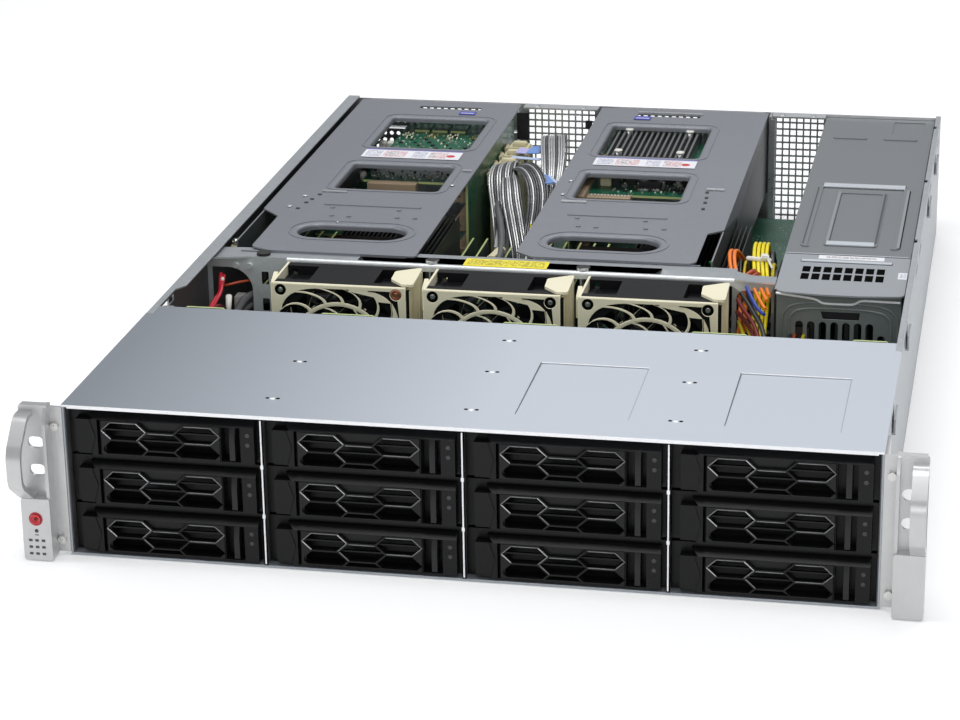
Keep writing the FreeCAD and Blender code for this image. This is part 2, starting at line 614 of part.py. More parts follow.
def handle():
    """Right-hand grip: a flat band that bulges forward from the top of the plate to the lower block."""
    rear = -EAR_FRONT + HANDLE_THICK
    top = EAR_TOP - HANDLE_DROP
    face = Part.makeFace([outline(
        (rear, top), (-EAR_FRONT - 8.0, top, 9.0), (-HANDLE_REACH, top - 16.0, 14.0),
        (-HANDLE_REACH, BLOCK_TOP + 13.0, 11.0), (-BLOCK_REACH, BLOCK_TOP, 3.0), (rear, BLOCK_TOP))],
        "Part::FaceMakerBullseye")
    band = face.cut(face.makeOffset2D(-HANDLE_THICK))
    band.Placement = FreeCAD.Placement(V(EAR_LEFT - HANDLE_WIDTH, 0, 0), TURNS["yz"][0])
    keep = block(0, 2 * EAR_LEFT, -HANDLE_REACH - 1, -EAR_FRONT, BLOCK_TOP, EAR_TOP)
    return band.extrude(V(HANDLE_WIDTH, 0, 0)).common(keep).Solids[0]


def ear_screws():
    """Two pan-head screws through the ear's side flange into the chassis wall."""
    return [rod("y", (HALF + 4.2, -2.6, z), 2.3, 2.1) for z in (9.0, EAR_TOP - 13.0)]


def right_ear():
    return [ear_bracket(), handle(), *ear_screws()]


def power_place():
    return -(EAR_LEFT + HALF + 6.6) / 2 - 0.2, -BLOCK_REACH, POWER_HEIGHT


def left_ear():
    """The same ear mirrored, with the power button's hole, the reset hole and small indicator windows."""
    x, y, z = power_place()
    tools = [rod("y", (x, y - 1, z), POWER_R + POWER_GAP, 7.0), rod("y", (x, y - 1, z - 7.0), 1.1, 5.0)]
    for row in range(3):
        level = z - 12.6 - row * 3.9
        tools += [block(x + u, x + u + 1.8, y - 1, y + 0.5, level - 0.5, level + 0.5)
                  for u in (-4.6, -1.0, 2.6)]
    bracket = carved(mirrored(ear_bracket()), tools)
    return [bracket, mirrored(handle()), *[mirrored(screw) for screw in ear_screws()]]


def power_button():
    x, y, z = power_place()
    cap = rod("y", (x, y - 0.6, z), POWER_R, 4.0)
    dimple = Part.makeSphere(6.0, V(x, y - 6.0, z))
    return [carved(cap, [dimple])]


# --- fans --------------------------------------------------------------------------------------------
def fan_x(index):
    return FAN_FIRST_X + index * FAN_PITCH


def spiral_rib(inner_r, outer_r, angle, sweep, width):
    """Curved grille rib from one radius to another, bending by the sweep angle."""
    def place(r, turn):
        return V(r * cos(turn), r * sin(turn), 0)
    middle_r = (inner_r + outer_r) / 2
    bend = place(middle_r, angle + sweep * 0.62)
    arc = Part.Arc(place(inner_r, angle), bend, place(outer_r, angle + sweep))
    half = width / 2
    start, middle, end = (arc.value(arc.FirstParameter + (arc.LastParameter - arc.FirstParameter) * t)
                          for t in (0, 0.5, 1))

    def shifted(point, before, after, side):
        along = (after - before).normalize()
        return point + V(-along.y, along.x, 0) * side
    left = [shifted(start, start, middle, half), shifted(middle, start, end, half),
            shifted(end, middle, end, half)]
    right = [shifted(end, middle, end, -half), shifted(middle, start, end, -half),
             shifted(start, start, middle, -half)]
    edges = [Part.Arc(*left).toShape(), Part.makeLine(left[2], right[0]),
             Part.Arc(*right).toShape(), Part.makeLine(right[2], left[0])]
    return Part.makeFace([Part.Wire(edges)], "Part::FaceMakerBullseye")


def fan_screw_places():
    """The four fan screws, across and up from the fan's axis."""
    reach = FAN_SCREWS / 2
    return [(u, v) for u in (-reach, reach) for v in (-reach, reach)]


def fan_grille():
    """Front plate of the fan cage: a round opening crossed by curved ribs and two rings."""
    low = SHEET + FAN_TRAY + 0.2 - FAN_AXIS_Z
    high = TOP_LINE - FAN_AXIS_Z
    half = FAN_SIZE / 2 + 1.6
    turn = TURNS["xz"][0]
    opening_r = FAN_BORE_R + 0.6
    screws = [ring(u, v, 1.9) for u, v in fan_screw_places()]
    plate = Part.makeFace([oblong(-half, half, low, high), ring(0, 0, opening_r), *screws],
                          "Part::FaceMakerBullseye")
    faces = [Part.makeFace([ring(0, 0, r + GRILLE_RIB / 2), ring(0, 0, r - GRILLE_RIB / 2)],
                           "Part::FaceMakerBullseye") for r in (GRILLE_RING_R, 13.0)]
    for spoke in range(SPOKES):
        angle = 2 * pi * spoke / SPOKES
        faces.append(spiral_rib(GRILLE_RING_R, opening_r + 0.4, angle, radians(-24), GRILLE_RIB))
    for spoke in range(7):
        angle = 2 * pi * spoke / 7 + 0.2
        faces.append(spiral_rib(13.0, GRILLE_RING_R, angle, radians(-40), GRILLE_RIB))
    solids = []
    for face in [plate, *faces]:
        face.Placement = FreeCAD.Placement(V(0, 0, 0), turn)
        solids.append(face.extrude(V(0, GRILLE, 0)))
    return joined(solids)


def fan_cage():
    """Cage in the fan's own coordinates: grille, left side plate, right posts and the squeeze latch."""
    half = FAN_SIZE / 2
    low = SHEET + FAN_TRAY + 0.2 - FAN_AXIS_Z
    high = TOP_LINE - FAN_AXIS_Z
    rear = FAN_DEPTH + GRILLE
    side = sheet("yz", -half - 1.6, 1.4, outline((0, low), (rear, low), (rear, high), (0, high)))
    prong = sheet("yz", -half - 4.2, 2.6, outline(
        (8.0, high - 16), (17.0, high - 16), (17.0, high + 1.2), (8.0, high - 3.0, 3.0)))
    right = sheet("yz", half + 0.2, 1.4, outline((0, low), (rear, low), (rear, high - 2), (0, high - 2)))
    posts = [block(half + 1.4, half + 3.6, y, y + 3.0, low, high - 2) for y in (1.0, 22.0, rear - 4.0)]
    paddle = sheet("xy", high, 1.6, outline(
        (half + 5.6, 3.0, 2.0), (half - 1.2, 3.0), (half - 9.8, 12.0, 2.5), (half - 10.6, 27.0, 3.0),
        (half - 1.0, 33.0, 3.0), (half + 4.6, 36.0, 1.5)))
    stem = sheet("xz", 24.0, 3.0, outline(
        (half + 0.2, high - 30), (half + 5.0, high - 30), (half + 5.0, high), (half + 0.2, high)))
    return joined([fan_grille(), side, prong, right, *posts, paddle, stem])


def fan_frame():
    """Square fan body behind the grille, with its motor seat on three arms at the rear."""
    half = FAN_SIZE / 2
    screws = [rod("y", (u, GRILLE, v), 2.15, FAN_DEPTH) for u, v in fan_screw_places()]
    body = block(-half, half, GRILLE, GRILLE + FAN_DEPTH, -half + 0.2, half - 0.2)
    waist = [block(-half - 1, half + 1, GRILLE + 6, GRILLE + FAN_DEPTH - 6, v0, v1)
             for v0, v1 in ((half - 6.0, half), (-half - 1, -half + 4.0))]
    pockets = [shape.common(block(-half - 1, -20, 0, 60, -half - 1, half)) for shape in waist]
    pockets += [shape.common(block(20, half + 1, 0, 60, -half - 1, half)) for shape in waist]
    body = carved(body, [rod("y", (0, 0, 0), FAN_BORE_R, FAN_DEPTH + 10), *screws, *pockets])
    rear = GRILLE + FAN_DEPTH
    seat = rod("y", (0, rear - 3.0, 0), FAN_HUB_R, 3.0)
    arms = []
    for index in range(3):
        arm = block(-1.5, 1.5, rear - 3.0, rear, FAN_HUB_R - 1, FAN_BORE_R + 0.8)
        arm.rotate(V(0, 0, 0), V(0, 1, 0), 120 * index + 40)
        arms.append(arm)
    return joined([body, seat, *arms])


def fan_module(index):
    screws = [joined([rod("y", (u, -0.5, v), 3.2, 0.5), rod("y", (u, 0, v), 1.85, GRILLE + 6)])
              for u, v in fan_screw_places()]
    return moved([fan_cage(), fan_frame(), *screws], fan_x(index), FAN_FRONT, FAN_AXIS_Z)


def fan_rotor(index):
    """Hub and swept blades, turning about Y inside the frame's bore."""
    tip = FAN_BORE_R - FAN_BLADE_GAP
    front = GRILLE + 3.0
    rear = GRILLE + FAN_DEPTH - 3.4
    hub = rod("y", (0, front, 0), FAN_HUB_R - 0.6, rear - front)
    blades = []
    for blade in range(BLADES):
        wing = block(-1.0, 1.0, front + 1.0, rear - 2.0, FAN_HUB_R - 2.0, tip - 0.4)
        wing.rotate(V(0, (front + rear) / 2, 0), V(0, 0, 1), 38)
        wing.rotate(V(0, 0, 0), V(0, 1, 0), 360.0 * blade / BLADES)
        blades.append(wing)
    reach = rod("y", (0, front, 0), tip, rear - front)
    rotor = joined([hub, *[wing.common(reach) for wing in blades]])
    return moved([rotor], fan_x(index), FAN_FRONT, FAN_AXIS_Z)


def fan_wall():
    """Frame that the fans stand in: crossbar, left end plate, right window frame, tray and rubber posts."""
    bar_left = fan_x(0) - FAN_SIZE / 2 - 4.0
    bar_right = fan_x(FAN_COUNT - 1) + FAN_SIZE / 2 + 6.0
    top = TOP_LINE + 0.4
    profile = outline((WALL_Y, top - BAR_LIP), (WALL_Y + SHEET, top - BAR_LIP),
                      (WALL_Y + SHEET, top - SHEET, 0.8), (WALL_Y + BAR_DEPTH, top - SHEET),
                      (WALL_Y + BAR_DEPTH, top), (WALL_Y, top, BAR_ROUND))
    bar = sheet("yz", bar_left, bar_right - bar_left, profile)
    ends_top = top - 0.1
    opening_margin, opening_drop, opening_r = LEFT_OPENING
    opening_x = bar_left - opening_margin
    opening_top = TOP_LINE - opening_drop
    left_holes = [outline((-INNER + 3.0, SHEET + 6.0), (opening_x, SHEET + 6.0, 6.0),
                          (opening_x, opening_top, opening_r), (-INNER + 3.0, opening_top))]
    left_holes += [oblong(opening_x + 6.0, opening_x + 10.5, z, z + 8.5, 0.8) for z in (32.0, 49.0, 66.5)]
    left_plate = sheet("xz", WALL_Y, SHEET, oblong(-INNER, bar_left, SHEET, ends_top - 1.2), left_holes)
    left_top = sheet("xy", ends_top - SHEET, SHEET, outline(
        (-INNER, WALL_Y - 6.0), (bar_left - 24.0, WALL_Y, 2.0), (bar_left, WALL_Y),
        (bar_left, WALL_Y + BAR_DEPTH), (-INNER, WALL_Y + BAR_DEPTH - 4.0)))
    studs = [rod("y", (x, WALL_Y - 1.2, ends_top - 6.0), 1.8, 1.2) for x in (-199.0, -190.0)]
    margin_left, margin_right, sill, drop = FRAME_WINDOW
    window = oblong(bar_right + margin_left, FRAME_RIGHT - margin_right, sill, TOP_LINE - drop, 5.0)
    right_plate = sheet("xz", WALL_Y, SHEET, oblong(bar_right, FRAME_RIGHT, SHEET, ends_top - 1.2), [window])
    right_top = sheet("xy", ends_top - SHEET, SHEET, outline(
        (bar_right, WALL_Y), (FRAME_RIGHT, WALL_Y - 4.0), (FRAME_RIGHT, WALL_Y + 8.0),
        (bar_right + 10.0, WALL_Y + 9.0, 8.0), (bar_right - 8.0, WALL_Y + BAR_DEPTH),
        (bar_right - 8.0, WALL_Y + 12.0), (bar_right, WALL_Y + 12.0)))
    tray = block(bar_left, bar_right, FAN_FRONT - 2.0, WALL_Y + SHEET, SHEET, SHEET + FAN_TRAY)
    webs = []
    web_places = [bar_left + 0.6, bar_right - 0.6]
    web_places += [fan_x(index) + FAN_SIZE / 2 + 6.6 for index in range(FAN_COUNT - 1)]
    for x in web_places:
        webs.append(block(x - 0.6, x + 0.6, WALL_Y, WALL_Y + SHEET, SHEET + FAN_TRAY, top - BAR_LIP))
        webs.append(block(x - 0.6, x + 0.6, FAN_FRONT + 3.0, WALL_Y, SHEET + FAN_TRAY, 46.0))
    posts = []
    for x in (bar_left - 16.0, fan_x(0) + FAN_SIZE / 2 + 7.4, fan_x(1) + FAN_SIZE / 2 + 7.4):
        stalk = rod("z", (x, WALL_Y + 4.8, top - 16.0), 2.4, 17.0)
        cap = rod("z", (x, WALL_Y + 4.8, top), 4.3, 1.6)
        posts.append(joined([stalk, cap]))
    holes = [rod("z", (post.BoundBox.Center.x, WALL_Y + 4.8, top - 8.0), 2.4, 8.0) for post in posts]
    shell = joined([bar, left_plate, left_top, right_plate, right_top, tray, *webs, *studs])
    return [carved(shell, holes), *posts]


# --- power supplies ----------------------------------------------------------------------------------
def psu_floor(index):
    return SHEET + LIFT_GAP + index * (PSU_HEIGHT + PSU_SHELF + 2 * LIFT_GAP)


def psu_left():
    return (CAGE_LEFT + CAGE_SHEET + CAGE_RIGHT - CAGE_SHEET - PSU[0]) / 2


def psu_front():
    return DEPTH - PSU[1]


def psu_cage():
    """Folded cage round the two supplies: lid with embossed ribs, perforated nose, side plates, shelf."""
    top = TOP_LINE
    under = top - CAGE_SHEET
    lid = sheet("xy", under, CAGE_SHEET, oblong(CAGE_LEFT, CAGE_RIGHT, CAGE_STEP, DEPTH - 2 * SHEET),
                [oblong(CAGE_RIGHT - 28.0, CAGE_RIGHT - 6.0, DEPTH - 42.0, DEPTH - 9.0, 1.0)])
    pan = block(CAGE_RIGHT - 28.0, CAGE_RIGHT - 6.0, DEPTH - 42.0, DEPTH - 9.0, under, under + 0.5)
    ribs = []
    for x0 in (CAGE_LEFT + 9.0, CAGE_RIGHT - 33.0):
        ribs.append(sheet("xy", top, 0.7, oblong(x0, x0 + 23.5, DEPTH - 58.0, DEPTH - 54.0, 1.9)))
    arch_left, arch_right = CAGE_LEFT + 8.0, CAGE_RIGHT - 8.0
    front, rear = CAGE_STEP + 12.0, DEPTH - 173.0
    arch = sheet("xy", top, 0.7, oblong(arch_left, arch_right, front, rear, 6.0),
                 [oblong(arch_left + 4.0, arch_right - 4.0, front + 1.0, rear - 4.0, 4.0)])
    arch = carved(arch, [block(arch_left - 1, arch_right + 1, front - 1, front + 2.0, top - 1, top + 2)])
    inner = sheet("xy", top, 0.6, oblong(arch_left + 14.0, arch_right - 14.0, front + 5.0, rear - 16.0, 3.0),
                  [oblong(arch_left + 17.0, arch_right - 17.0, front + 8.5, rear - 18.0, 1.5)])
    nose_holes = []
    for row in range(2):
        y = CAGE_FRONT + 30.0 + row * 9.6
        nose_holes += [oblong(x, x + 4.6, y, y + 5.6, 0.6)
                       for x in [CAGE_LEFT + 13.5 + 6.4 * column for column in range(8)]]
    nose = sheet("xy", under, CAGE_SHEET, outline(
        (CAGE_LEFT, CAGE_STEP), (CAGE_LEFT + 0.8, CAGE_FRONT, 8.0),
        (CAGE_LEFT + 28.0, CAGE_FRONT - 3.0, 10.0), (CAGE_LEFT + 50.0, CAGE_FRONT - 3.0, 10.0),
        (CAGE_RIGHT, CAGE_FRONT, 4.0), (CAGE_RIGHT, CAGE_STEP)),
        nose_holes)
    panel_y = CAGE_FRONT + 6.0
    panel_holes = [oblong(CAGE_LEFT + 8.0, CAGE_LEFT + 22.0, 40.0, 62.0, 2.0)]
    panel_holes += [oblong(x, x + 3.0, 34.0, 66.0, 1.4)
                    for x in [CAGE_LEFT + 28.0 + 5.6 * column for column in range(7)]]
    panel = sheet("xz", panel_y, CAGE_SHEET,
                  oblong(CAGE_LEFT + CAGE_SHEET, CAGE_RIGHT - CAGE_SHEET, SHEET, under), panel_holes)
    cage_rear = DEPTH - 2 * SHEET
    left = sheet("yz", CAGE_LEFT, CAGE_SHEET, oblong(panel_y, cage_rear, SHEET, under),
                 [oblong(CAGE_FRONT + 20.0, CAGE_FRONT + 58.0, 30.0, 66.0, 4.0)])
    right = sheet("yz", CAGE_RIGHT - CAGE_SHEET, CAGE_SHEET, oblong(panel_y, cage_rear, SHEET, under))
    tags = [block(CAGE_RIGHT, INNER, y, y + 9.0, under - 3.0, under - 2.0)
            for y in (CAGE_STEP + 10.0, CAGE_STEP + 150.0, DEPTH - 60.0)]
    shell = joined([lid, pan, *ribs, arch, inner, nose, panel, left, right, *tags])
    shelf_z = psu_floor(1) - LIFT_GAP - PSU_SHELF
    shelf = block(CAGE_LEFT + CAGE_SHEET, CAGE_RIGHT - CAGE_SHEET, psu_front() - 20.0, DEPTH - 2 * SHEET,
                  shelf_z, shelf_z + PSU_SHELF)
    board_y = psu_front() - 5.0
    board = block(CAGE_LEFT + CAGE_SHEET + 0.3, CAGE_RIGHT - CAGE_SHEET - 0.3, board_y - BOARD, board_y,
                  SHEET + 0.3, shelf_z - 0.3)
    upper = block(CAGE_LEFT + CAGE_SHEET + 0.3, CAGE_RIGHT - CAGE_SHEET - 0.3, board_y - BOARD, board_y,
                  shelf_z + PSU_SHELF + 0.3, under - 0.3)
    outlet = joined([
        block(CAGE_LEFT + 8.6, CAGE_LEFT + 21.4, panel_y - 3.0, panel_y + 8.0, 41.0, 61.0),
        block(CAGE_LEFT + 6.0, CAGE_LEFT + 24.0, panel_y + CAGE_SHEET, panel_y + 4.0, 38.0, 64.0)])
    sockets = [outlet]
    for index in range(2):
        z = psu_floor(index) + 14.0
        sockets.append(block(psu_left() + 12.0, psu_left() + 62.0, board_y, psu_front() - 0.3, z, z + 11.0))
    return [shell, shelf, board, upper, *sockets]


def psu_module(index):
    """Supply case with fan grille, inlet, pull handle and latch pivot, in place."""
    wide = PSU[0]
    high = PSU_HEIGHT
    left = psu_left()
    front = psu_front()
    low = psu_floor(index)
    case = block(left, left + wide, front, DEPTH, low, low + high)
    fan_x0, fan_z0 = left + 54.0, low + high / 2
    tools = [rod("y", (fan_x0, DEPTH - 12.0, fan_z0), 16.0, 20.0)]
    inlet = block(left + 5.0, left + 33.0, DEPTH - 16.0, DEPTH + 1, low + 9.0, low + 29.5)
    tools.append(inlet)
    shell = carved(case, tools)
    rings = [sheet("xz", DEPTH - 1.2, 1.0, ring(fan_x0, fan_z0, r + 0.5), [ring(fan_x0, fan_z0, r - 0.5)])
             for r in (15.5, 11.5, 7.5)]
    rings.append(rod("y", (fan_x0, DEPTH - 1.2, fan_z0), 3.4, 1.0))
    for turn in (0, 90):
        bar = block(-15.8, 15.8, DEPTH - 1.2, DEPTH - 0.2, -0.6, 0.6)
        bar.rotate(V(0, DEPTH, 0), V(0, 1, 0), turn + 45)
        rings.append(bar.translated(V(fan_x0, 0, fan_z0)))
    grille = joined(rings)
    socket = carved(block(left + 5.3, left + 32.7, DEPTH - 15.7, DEPTH - 0.2, low + 9.3, low + 29.2),
                    [block(left + 7.5, left + 30.5, DEPTH - 12.0, DEPTH + 1, low + 11.5, low + 27.0)])
    blades = [block(left + u - 1.0, left + u + 1.0, DEPTH - 12.0, DEPTH - 3.0, low + 17.0, low + 21.5)
              for u in (12.0, 19.0, 26.0)]
    grip_left, grip_right = left + 34.5, left + 38.0
    grip = sheet("yz", grip_left, grip_right - grip_left, outline(
        (DEPTH, low + 4.0), (DEPTH + PSU_HANDLE, low + 4.0, 5.0),
        (DEPTH + PSU_HANDLE, low + high - 4.0, 5.0), (DEPTH, low + high - 4.0)),
        [outline((DEPTH + 0.8, low + 7.0), (DEPTH + PSU_HANDLE - 3.0, low + 7.0, 3.0),
                 (DEPTH + PSU_HANDLE - 3.0, low + high - 7.0, 3.0), (DEPTH + 0.8, low + high - 7.0))])
    latch_x, latch_y = latch_place()
    lugs = [block(latch_x - 2.0, latch_x + 2.0, DEPTH, latch_y + 2.0, z, z + 1.6)
            for z in (low + 12.0, low + high - 13.6)]
    pin = rod("z", (latch_x, latch_y, low + 12.0), 1.0, high - 24.0)
    return [joined([shell, grip, *lugs, pin]), grille, socket, *blades]


def latch_place():
    """Latch pin beside the inlet: X and Y."""
    return psu_left() + 70.8, DEPTH + 3.4


def psu_latch(index):
    """Sprung release lever that is pressed towards the handle."""
    low = psu_floor(index) + 12.0 + 1.6 + LIFT_GAP
    high = psu_floor(index) + PSU_HEIGHT - 13.6 - LIFT_GAP
    x, y = latch_place()
    barrel = rod("z", (x, y, low), 1.9, high - low)
    arm = block(x - 1.1, x + 0.9, y, y + 12.0, low, high)
    pad = block(x - 1.1, x + 1.9, y + 9.0, y + 13.0, low - 2.0, high + 2.0)
    lever = joined([barrel, arm, pad])
    return [carved(lever, [rod("z", (x, y, low - 3), 1.0 + PIN_CLEARANCE, high - low + 6)])]


# --- mainboard ---------------------------------------------------------------------------------------
def finned(x, y, size, low, base, fin, pitch):
    """Cooler with a base plate and upright fins that run front to rear; size is width, length and height."""
    wide, long, high = size
    count = int((wide - fin) / pitch)
    start = (wide - count * pitch - fin) / 2
    top = low + high
    corners = [(x, low), (x + wide, low), (x + wide, low + base)]
    for index in range(count, -1, -1):
        left = x + start + index * pitch
        corners += [(left + fin, low + base), (left + fin, top), (left, top), (left, low + base)]
    corners.append((x, low + base))
    return sheet("xz", y, long, outline(*corners))


def heatsink(x, y):
    """Cooler for one processor on the block that presses it down."""
    wide, long, high = HEATSINK
    inset = 18.0
    under = MAIN_TOP + PRESS_BLOCK
    press = block(x + wide / 2 - 24, x + wide / 2 + 24, y + inset, y + long - inset, MAIN_TOP, under)
    size = (wide, long, high - PRESS_BLOCK)
    return [finned(x, y, size, under, HEATSINK_BASE - PRESS_BLOCK, FIN, FIN_PITCH), press]


def memory_bank(x, y, count):
    """Sockets side by side along X, each with its module standing in it."""
    solids = []
    long, thick, high = MEMORY
    socket_long, socket_wide, socket_high = MEMORY_SOCKET
    inset = (socket_long - long) / 2
    for index in range(count):
        centre = x + index * MEMORY_PITCH
        socket = block(centre - socket_wide / 2, centre + socket_wide / 2, y, y + socket_long,
                       MAIN_TOP, MAIN_TOP + socket_high)
        solids.append(socket)
        solids.append(block(centre - thick / 2, centre + thick / 2, y + inset, y + inset + long,
                            MAIN_TOP + socket_high, MAIN_TOP + socket_high + high))
    return solids


HEADERS = ((108.0, 348.0, 12.0), (112.0, 376.0, 16.0), (-205.0, 294.0, 13.0), (98.0, 470.0, 12.0),
           (98.0, 486.0, 12.0), (98.0, 502.0, 12.0), (-56.0, 470.0, 12.0), (-56.0, 520.0, 12.0))
PORTS = ((-196.0, 18.0, 14.0), (-174.0, 16.5, 13.5), (-154.0, 16.5, 13.5), (-134.0, 32.0, 12.5),
         (-96.0, 32.0, 12.5), (-18.0, 16.5, 13.5), (2.0, 16.5, 13.5))


def mainboard():
    left, right, front, rear = MAIN
    board = block(left, right, front, rear, MAIN_HEIGHT, MAIN_TOP)
    foot_rows = (front + 12, (front + rear) / 2, rear - 30)
    feet = [rod("z", (x, y, SHEET), 3.0, MAIN_HEIGHT - SHEET)
            for x in (left + 12, (left + right) / 2, right - 12) for y in foot_rows]
    solids = [board, *feet]
    solids += heatsink(34.0, 336.0)
    solids += heatsink(-162.0, 330.0)
    solids += memory_bank(-82.0, 302.0, 4)
    solids += memory_bank(-28.0, 302.0, 5)
    solids += memory_bank(-196.0, 302.0, 4)
    sink = block(-4.0, 36.0, 520.0, 560.0, MAIN_TOP, MAIN_TOP + 4.0)
    fins = [block(-4.0, 36.0, y, y + 1.4, MAIN_TOP + 4.0, MAIN_TOP + 14.0) for y in range(520, 560, 5)]
    solids.append(joined([sink, *fins]))
    for x in RISER_SOCKETS:
        solids.append(block(x - 4.0, x + 4.0, 450.0, 610.0, MAIN_TOP, MAIN_TOP + 11.0))
    solids += [block(x, x + wide, rear - 14.0, DEPTH - 0.2, MAIN_TOP, MAIN_TOP + high)
               for x, wide, high in PORTS]
    solids += [block(x, x + wide, y, y + 7.0, MAIN_TOP, MAIN_TOP + 9.0) for x, y, wide in HEADERS]
    wide, deep, high = LINK_SOCKET
    link_x = RISER_SOCKETS[0] + 4.5
    solids += [block(link_x, link_x + wide, y, y + deep, MAIN_TOP, MAIN_TOP + high) for y in LINK_PLACES]
    solids += [rod("z", (x, 460.0 + 12.0 * k, MAIN_TOP), 3.2, 9.0) for x in (-186.0, 62.0) for k in range(5)]
    return solids


# --- risers ------------------------------------------------------------------------------------------
def grown(window, margin):
    """Outline of a window, larger by a margin on every side."""
    u0, u1, v0, v1, r = window
    return oblong(u0 - margin, u1 + margin, v0 - margin, v1 + margin, r + margin)


def on_rim(box, window, slack=0.01):
    """Whether an edge with this box is part of a window's edge on top of the lid."""
    u0, u1, v0, v1, _ = window
    flat = abs(box.ZMin - RISER_TOP) < slack and abs(box.ZMax - RISER_TOP) < slack
    across = box.XMin > u0 - slack and box.XMax < u1 + slack
    along = box.YMin > v0 - slack and box.YMax < v1 + slack
    return flat and across and along


def riser_lid(corners, window_middle):
    """Lid plate with three windows, rolled rims round them and a finger slot at the rear."""
    left, right = window_middle - RISER_WINDOW_HALF, window_middle + RISER_WINDOW_HALF
    windows = [(left, right, *REAR_WINDOW, WINDOW_ROUND), (left, right, *MIDDLE_WINDOW, WINDOW_ROUND),
               (left, right, *FRONT_WINDOW, (FRONT_WINDOW[1] - FRONT_WINDOW[0]) / 2 - 0.1)]
    finger = oblong(window_middle - 22.0, window_middle + 24.0, 626.0, 632.0, 1.5)
    holes = [oblong(*window) for window in windows]
    lid = sheet("xy", RISER_UNDER, RISER_SHEET, outline(*corners), [*holes, finger])
    wide, high, roll = WINDOW_RIM
    away, bead, proud = WINDOW_BEAD
    extras = []
    for window in windows:
        extras.append(sheet("xy", RISER_TOP - high, high - RISER_SHEET,
                            grown(window, wide), [grown(window, 0)]))
        extras.append(sheet("xy", RISER_TOP, proud, grown(window, away + bead), [grown(window, away)]))
    extras.append(sheet("xy", RISER_TOP, 0.6, oblong(left + 3.0, right - 2.0, 379.0, 382.0, 1.4)))
    extras += [rod("z", (window_middle + u, v, RISER_TOP), 1.5, 0.7) for u, v in
               ((-24.6, 373.5), (-21.0, 356.2), (-9.6, 355.7), (19.8, 373.2), (22.2, 357.0), (33.8, 357.6))]
    plate = joined([lid, *extras])
    rims = [edge for edge in plate.Edges if any(on_rim(edge.BoundBox, window) for window in windows)]
    return plate.makeFillet(roll, rims)


def card_chips(top):
    """Row of three chips on the left riser's top card."""
    x, y = CHIPS_AT
    wide, long, high = CHIP
    return [block(x + CHIP_PITCH * index, x + CHIP_PITCH * index + wide, y, y + long, top, top + high)
            for index in range(3)]


def front_plug(index):
    """Wide plug on the front edge of a top card."""
    left, right = FRONT_PLUGS[index]
    deep, drop = FRONT_PLUG_SIZE
    front = CARD_FRONTS[index]
    low = card_level(0)
    return block(left, right, front - deep, front, low - drop, low + BOARD)


def card_bracket(x0, x1, z):
    """Rear slot bracket with round air holes."""
    y = RISER_REAR - 1.2
    holes = [ring(u, v, CARD_ROUND_HOLE) for u, v in grid(x0 + 4, x1 - 4, z - 3.0, z + 13.0, 5.2)]
    return sheet("xz", y, 1.0, oblong(x0, x1, z - 4.0, z + 13.6), holes)


def riser(corners, window_middle, board_x, card_left, card_right, side_x, card_front, top_card_left):
    """Riser module: lid, side sheet, upright riser board with slots, cards and their brackets."""
    low = MAIN_TOP + 11.0 + LIFT_GAP
    under = RISER_UNDER
    solids = []
    side = sheet("yz", side_x, RISER_SHEET, outline(
        (452.0, 30.0), (RISER_REAR, 30.0), (RISER_REAR, under), (300.0, under), (300.0, under - 16.0),
        (452.0, under - 16.0)))
    front_y = corners[0][1]
    front = block(card_left + 6, card_right - 4, front_y, front_y + RISER_SHEET, under - 0.6, under)
    strip_left = min(side_x, side_x + RISER_SHEET - BRACKET_STRIP)
    if side_x < board_x:
        strip_left = side_x
    strip = block(strip_left, strip_left + BRACKET_STRIP, RISER_REAR - 2.2, RISER_REAR - 1.2, 26.6, under)
    solids.append(joined([riser_lid(corners, window_middle), side, front, strip]))
    solids.append(block(board_x - BOARD / 2, board_x + BOARD / 2, 450.0, 620.0, low, under))
    toward = 1 if card_left < board_x else -1
    for level in range(CARD_LEVELS):
        z = card_level(level)
        edge = board_x - toward * (BOARD / 2)
        slot_left, slot_right = sorted((edge, edge - toward * 9.0))
        slot = block(slot_left, slot_right, 455.0, 560.0, z - 3.0, z + 4.6)
        far = card_left if toward > 0 else card_right
        near = edge - toward * 5.0
        groove = block(min(near, far) - 0.3, max(near, far) + 0.3, 445.0, 570.0, z - 0.05, z + BOARD + 0.05)
        solids.append(carved(slot, [groove]))
        if level != 1:
            card_start = max(min(near, far), top_card_left if level == 0 else card_left)
            solids.append(block(card_start, max(near, far), card_front, CARD_REAR, z, z + BOARD))
        solids.append(card_bracket(min(card_left, board_x) + 1.0, max(card_right, board_x) - 1.0, z))
    return solids


def riser_left():
    edge = RISER_SOCKETS[0] + RISER_MARGINS[0]
    corners = [(-180.0, 280.5, 6.0), (edge, 280.5, 2.0), (edge, RISER_REAR), (-206.5, RISER_REAR),
               (-206.5, 366.0), (-193.0, 351.0), (-193.0, 287.0, 5.0)]
    module = riser(corners, -137.5, RISER_SOCKETS[0], -204.0, RISER_SOCKETS[0], -206.5,
                   CARD_FRONTS[0], SHORT_CARD_LEFT)
    return [*module, front_plug(0), *card_chips(card_level(0) + BOARD)]


def riser_right():
    edge = RISER_SOCKETS[1] + RISER_MARGINS[1]
    corners = [(edge + 10.5, 291.5, 2.0), (86.0, 291.5, 6.0), (86.0, 353.0), (95.5, 362.0),
               (95.5, RISER_REAR), (edge, RISER_REAR), (edge, 300.0)]
    module = riser(corners, 24.0, RISER_SOCKETS[1], RISER_SOCKETS[1], 93.0, 94.5,
                   CARD_FRONTS[1], RISER_SOCKETS[1])
    cooler = finned(*COOLER_AT, COOLER, card_level(0) + BOARD, COOLER_BASE, COOLER_FIN, COOLER_PITCH)
    return [*module, front_plug(1), cooler]


